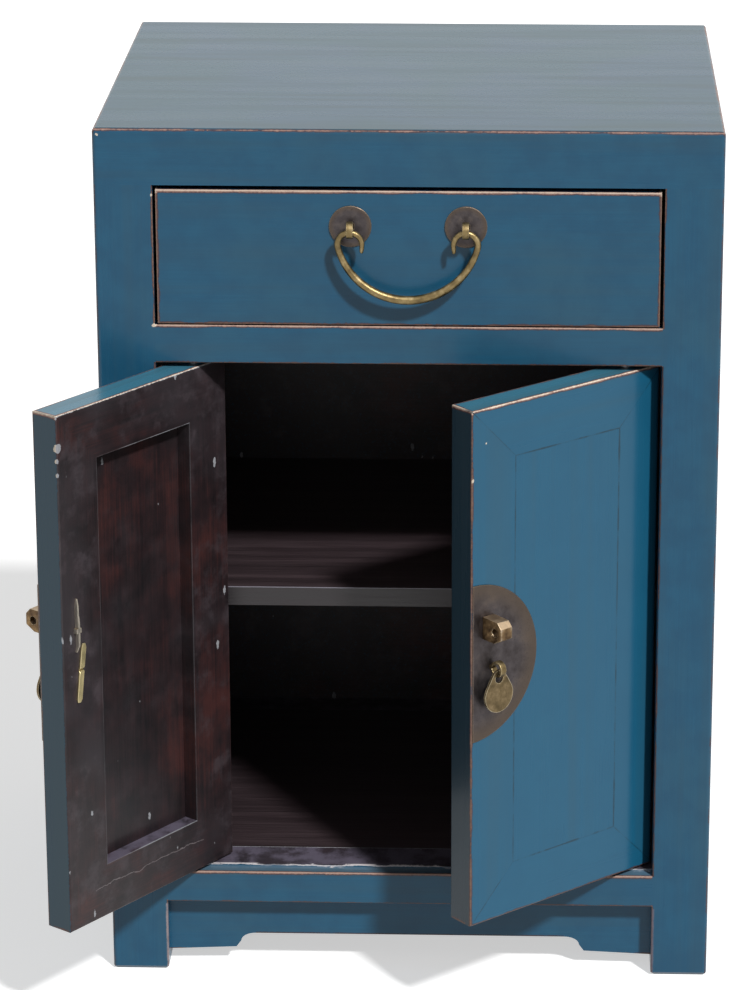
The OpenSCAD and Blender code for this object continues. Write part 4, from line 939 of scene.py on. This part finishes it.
for side, (flip, opened) in doorPlaces.items():
    hang = Matrix.Diagonal((flip, 1, 1, 1)) @ Matrix.Translation(Vector((-d["pivotX"], d["pivotY"], 0)) * mm)
    hang = hang @ Matrix.Rotation(-math.radians(opened), 4, "Z")
    plateHub, lugFoot, pullEye = [tuple(hang @ (Vector(point) * mm) / mm) for point in (
        (k["x"], k["faceY"], k["z"]), (k["lugX"], k["faceY"], k["lugZ"]), (k["pullX"], k["pullY"], k["pullZ"]))]
    plateSheet = metal("lockPlateSheet_" + side, "lockPlate", 41.0 + flip,
                       (plateHub, k["rimFrom"], k["rimTo"], metalTones["plateRim"]))
    lugBrass = metal("brownedLugBrass_" + side, "lug", 31.0 + flip,
                     (lugFoot, k["paleFrom"], k["paleTo"], metalTones["lugLeg"]), metalTones["lugTopHighlight"])
    stapleBrass = metal("drawnStapleBrass_" + side, "brass", 1.0,
                        (pullEye, k["brightFrom"], k["brightTo"], metalTones["stapleLeg"]))
    for piece, name, place, body, node, finish, slot in (
        (lockPlate, "LockPlate", (k["x"], k["faceY"], k["z"]), "door", "lock_plate", plateSheet, "bronze_plate"),
        (lug, "LockLug", (k["lugX"], k["faceY"] - k["t"], k["lugZ"]), "door", "lock_lug", lugBrass, "aged_brass"),
        (pullStaple, "PendantStaple", (k["pullX"], k["pullY"], k["pullZ"]), "door", "pendant_staple", stapleBrass,
         "aged_brass"),
        (pendant, "Pendant", (k["pullX"], k["pullY"], k["pullZ"] - g["drop"]), "pull", "pendant", castBrass,
         "aged_brass"),
    ):
        putCopy(piece, side + name, hang @ Matrix.Translation(Vector(place) * mm), side + "_" + body,
                side + "_" + node, finish)
for piece in (bailPlate, bailStaple, lockPlate, lug, pullStaple, pendant):
    bpy.data.objects.remove(piece, do_unlink=True)
print("fittings modelled")

studioLook = {
    "floor": "#dcdcdb",
    "floorGlow": 0.55,  # whitens the floor for the camera and for mirror rays alone, and leaves its shadow
    "floorBounce": "#a8a8a6",  # what the floor gives back to the object, so that shaded sides stay deep
    "floorSize": 80.0,
    "room": "#ffffff",
    "keyStrength": 3.7,
    "keyWide": 5.0,  # degrees across, as seen from the object
    "keyFrom": (0.66, -1.0, 1.2),
    "fill": 0.26,
}
bpy.ops.object.select_all(action="DESELECT")
bpy.ops.mesh.primitive_plane_add(size=studioLook["floorSize"], location=(0, 0, 0))
floor = bpy.context.object
floor.name = "floor"
floorPaint, add = newMaterial("palePaper")
rays = add("LightPath").outputs
seen = add("Math", "MAXIMUM", [rays["Is Camera Ray"], rays["Is Glossy Ray"]])
floorTone = add("Mix", blend, {0: seen, 6: studioLook["floorBounce"], 7: studioLook["floor"]})
matt = add("BsdfDiffuse", {}, {"Color": floorTone})
glow = add("Emission", {}, {"Strength": add("Math", "MULTIPLY", [seen, studioLook["floorGlow"]])})
add("OutputMaterial", {}, {"Surface": add("AddShader", {}, [matt, glow])})
floor.data.materials.append(floorPaint)

world = bpy.data.worlds.new("softRoom")
bpy.context.scene.world = world
world.use_nodes = True
world.node_tree.nodes.clear()
add = partial(addNode, world.node_tree)
rays = add("LightPath").outputs
seen = add("Math", "MAXIMUM", [rays["Is Camera Ray"], rays["Is Glossy Ray"]])
seen = add("Math", "MAXIMUM", [seen, rays["Is Transmission Ray"]])
strength = add("MapRange", smooth, [seen, 0.0, 1.0, studioLook["fill"], 1.0])
add("OutputWorld", {}, {"Surface": add("Background", {}, {"Color": studioLook["room"], "Strength": strength})})

keyLight = bpy.data.lights.new("keyLight", "SUN")
keyLight.energy = studioLook["keyStrength"]
keyLight.angle = math.radians(studioLook["keyWide"])
key = bpy.data.objects.new("keyLight", keyLight)
key.location = Vector(studioLook["keyFrom"]) * 2
key.rotation_mode = "QUATERNION"
key.rotation_quaternion = key.location.to_track_quat("Z", "Y")
bpy.context.scene.collection.objects.link(key)
bpy.context.scene.view_settings.view_transform = "Standard"
print("studio set")
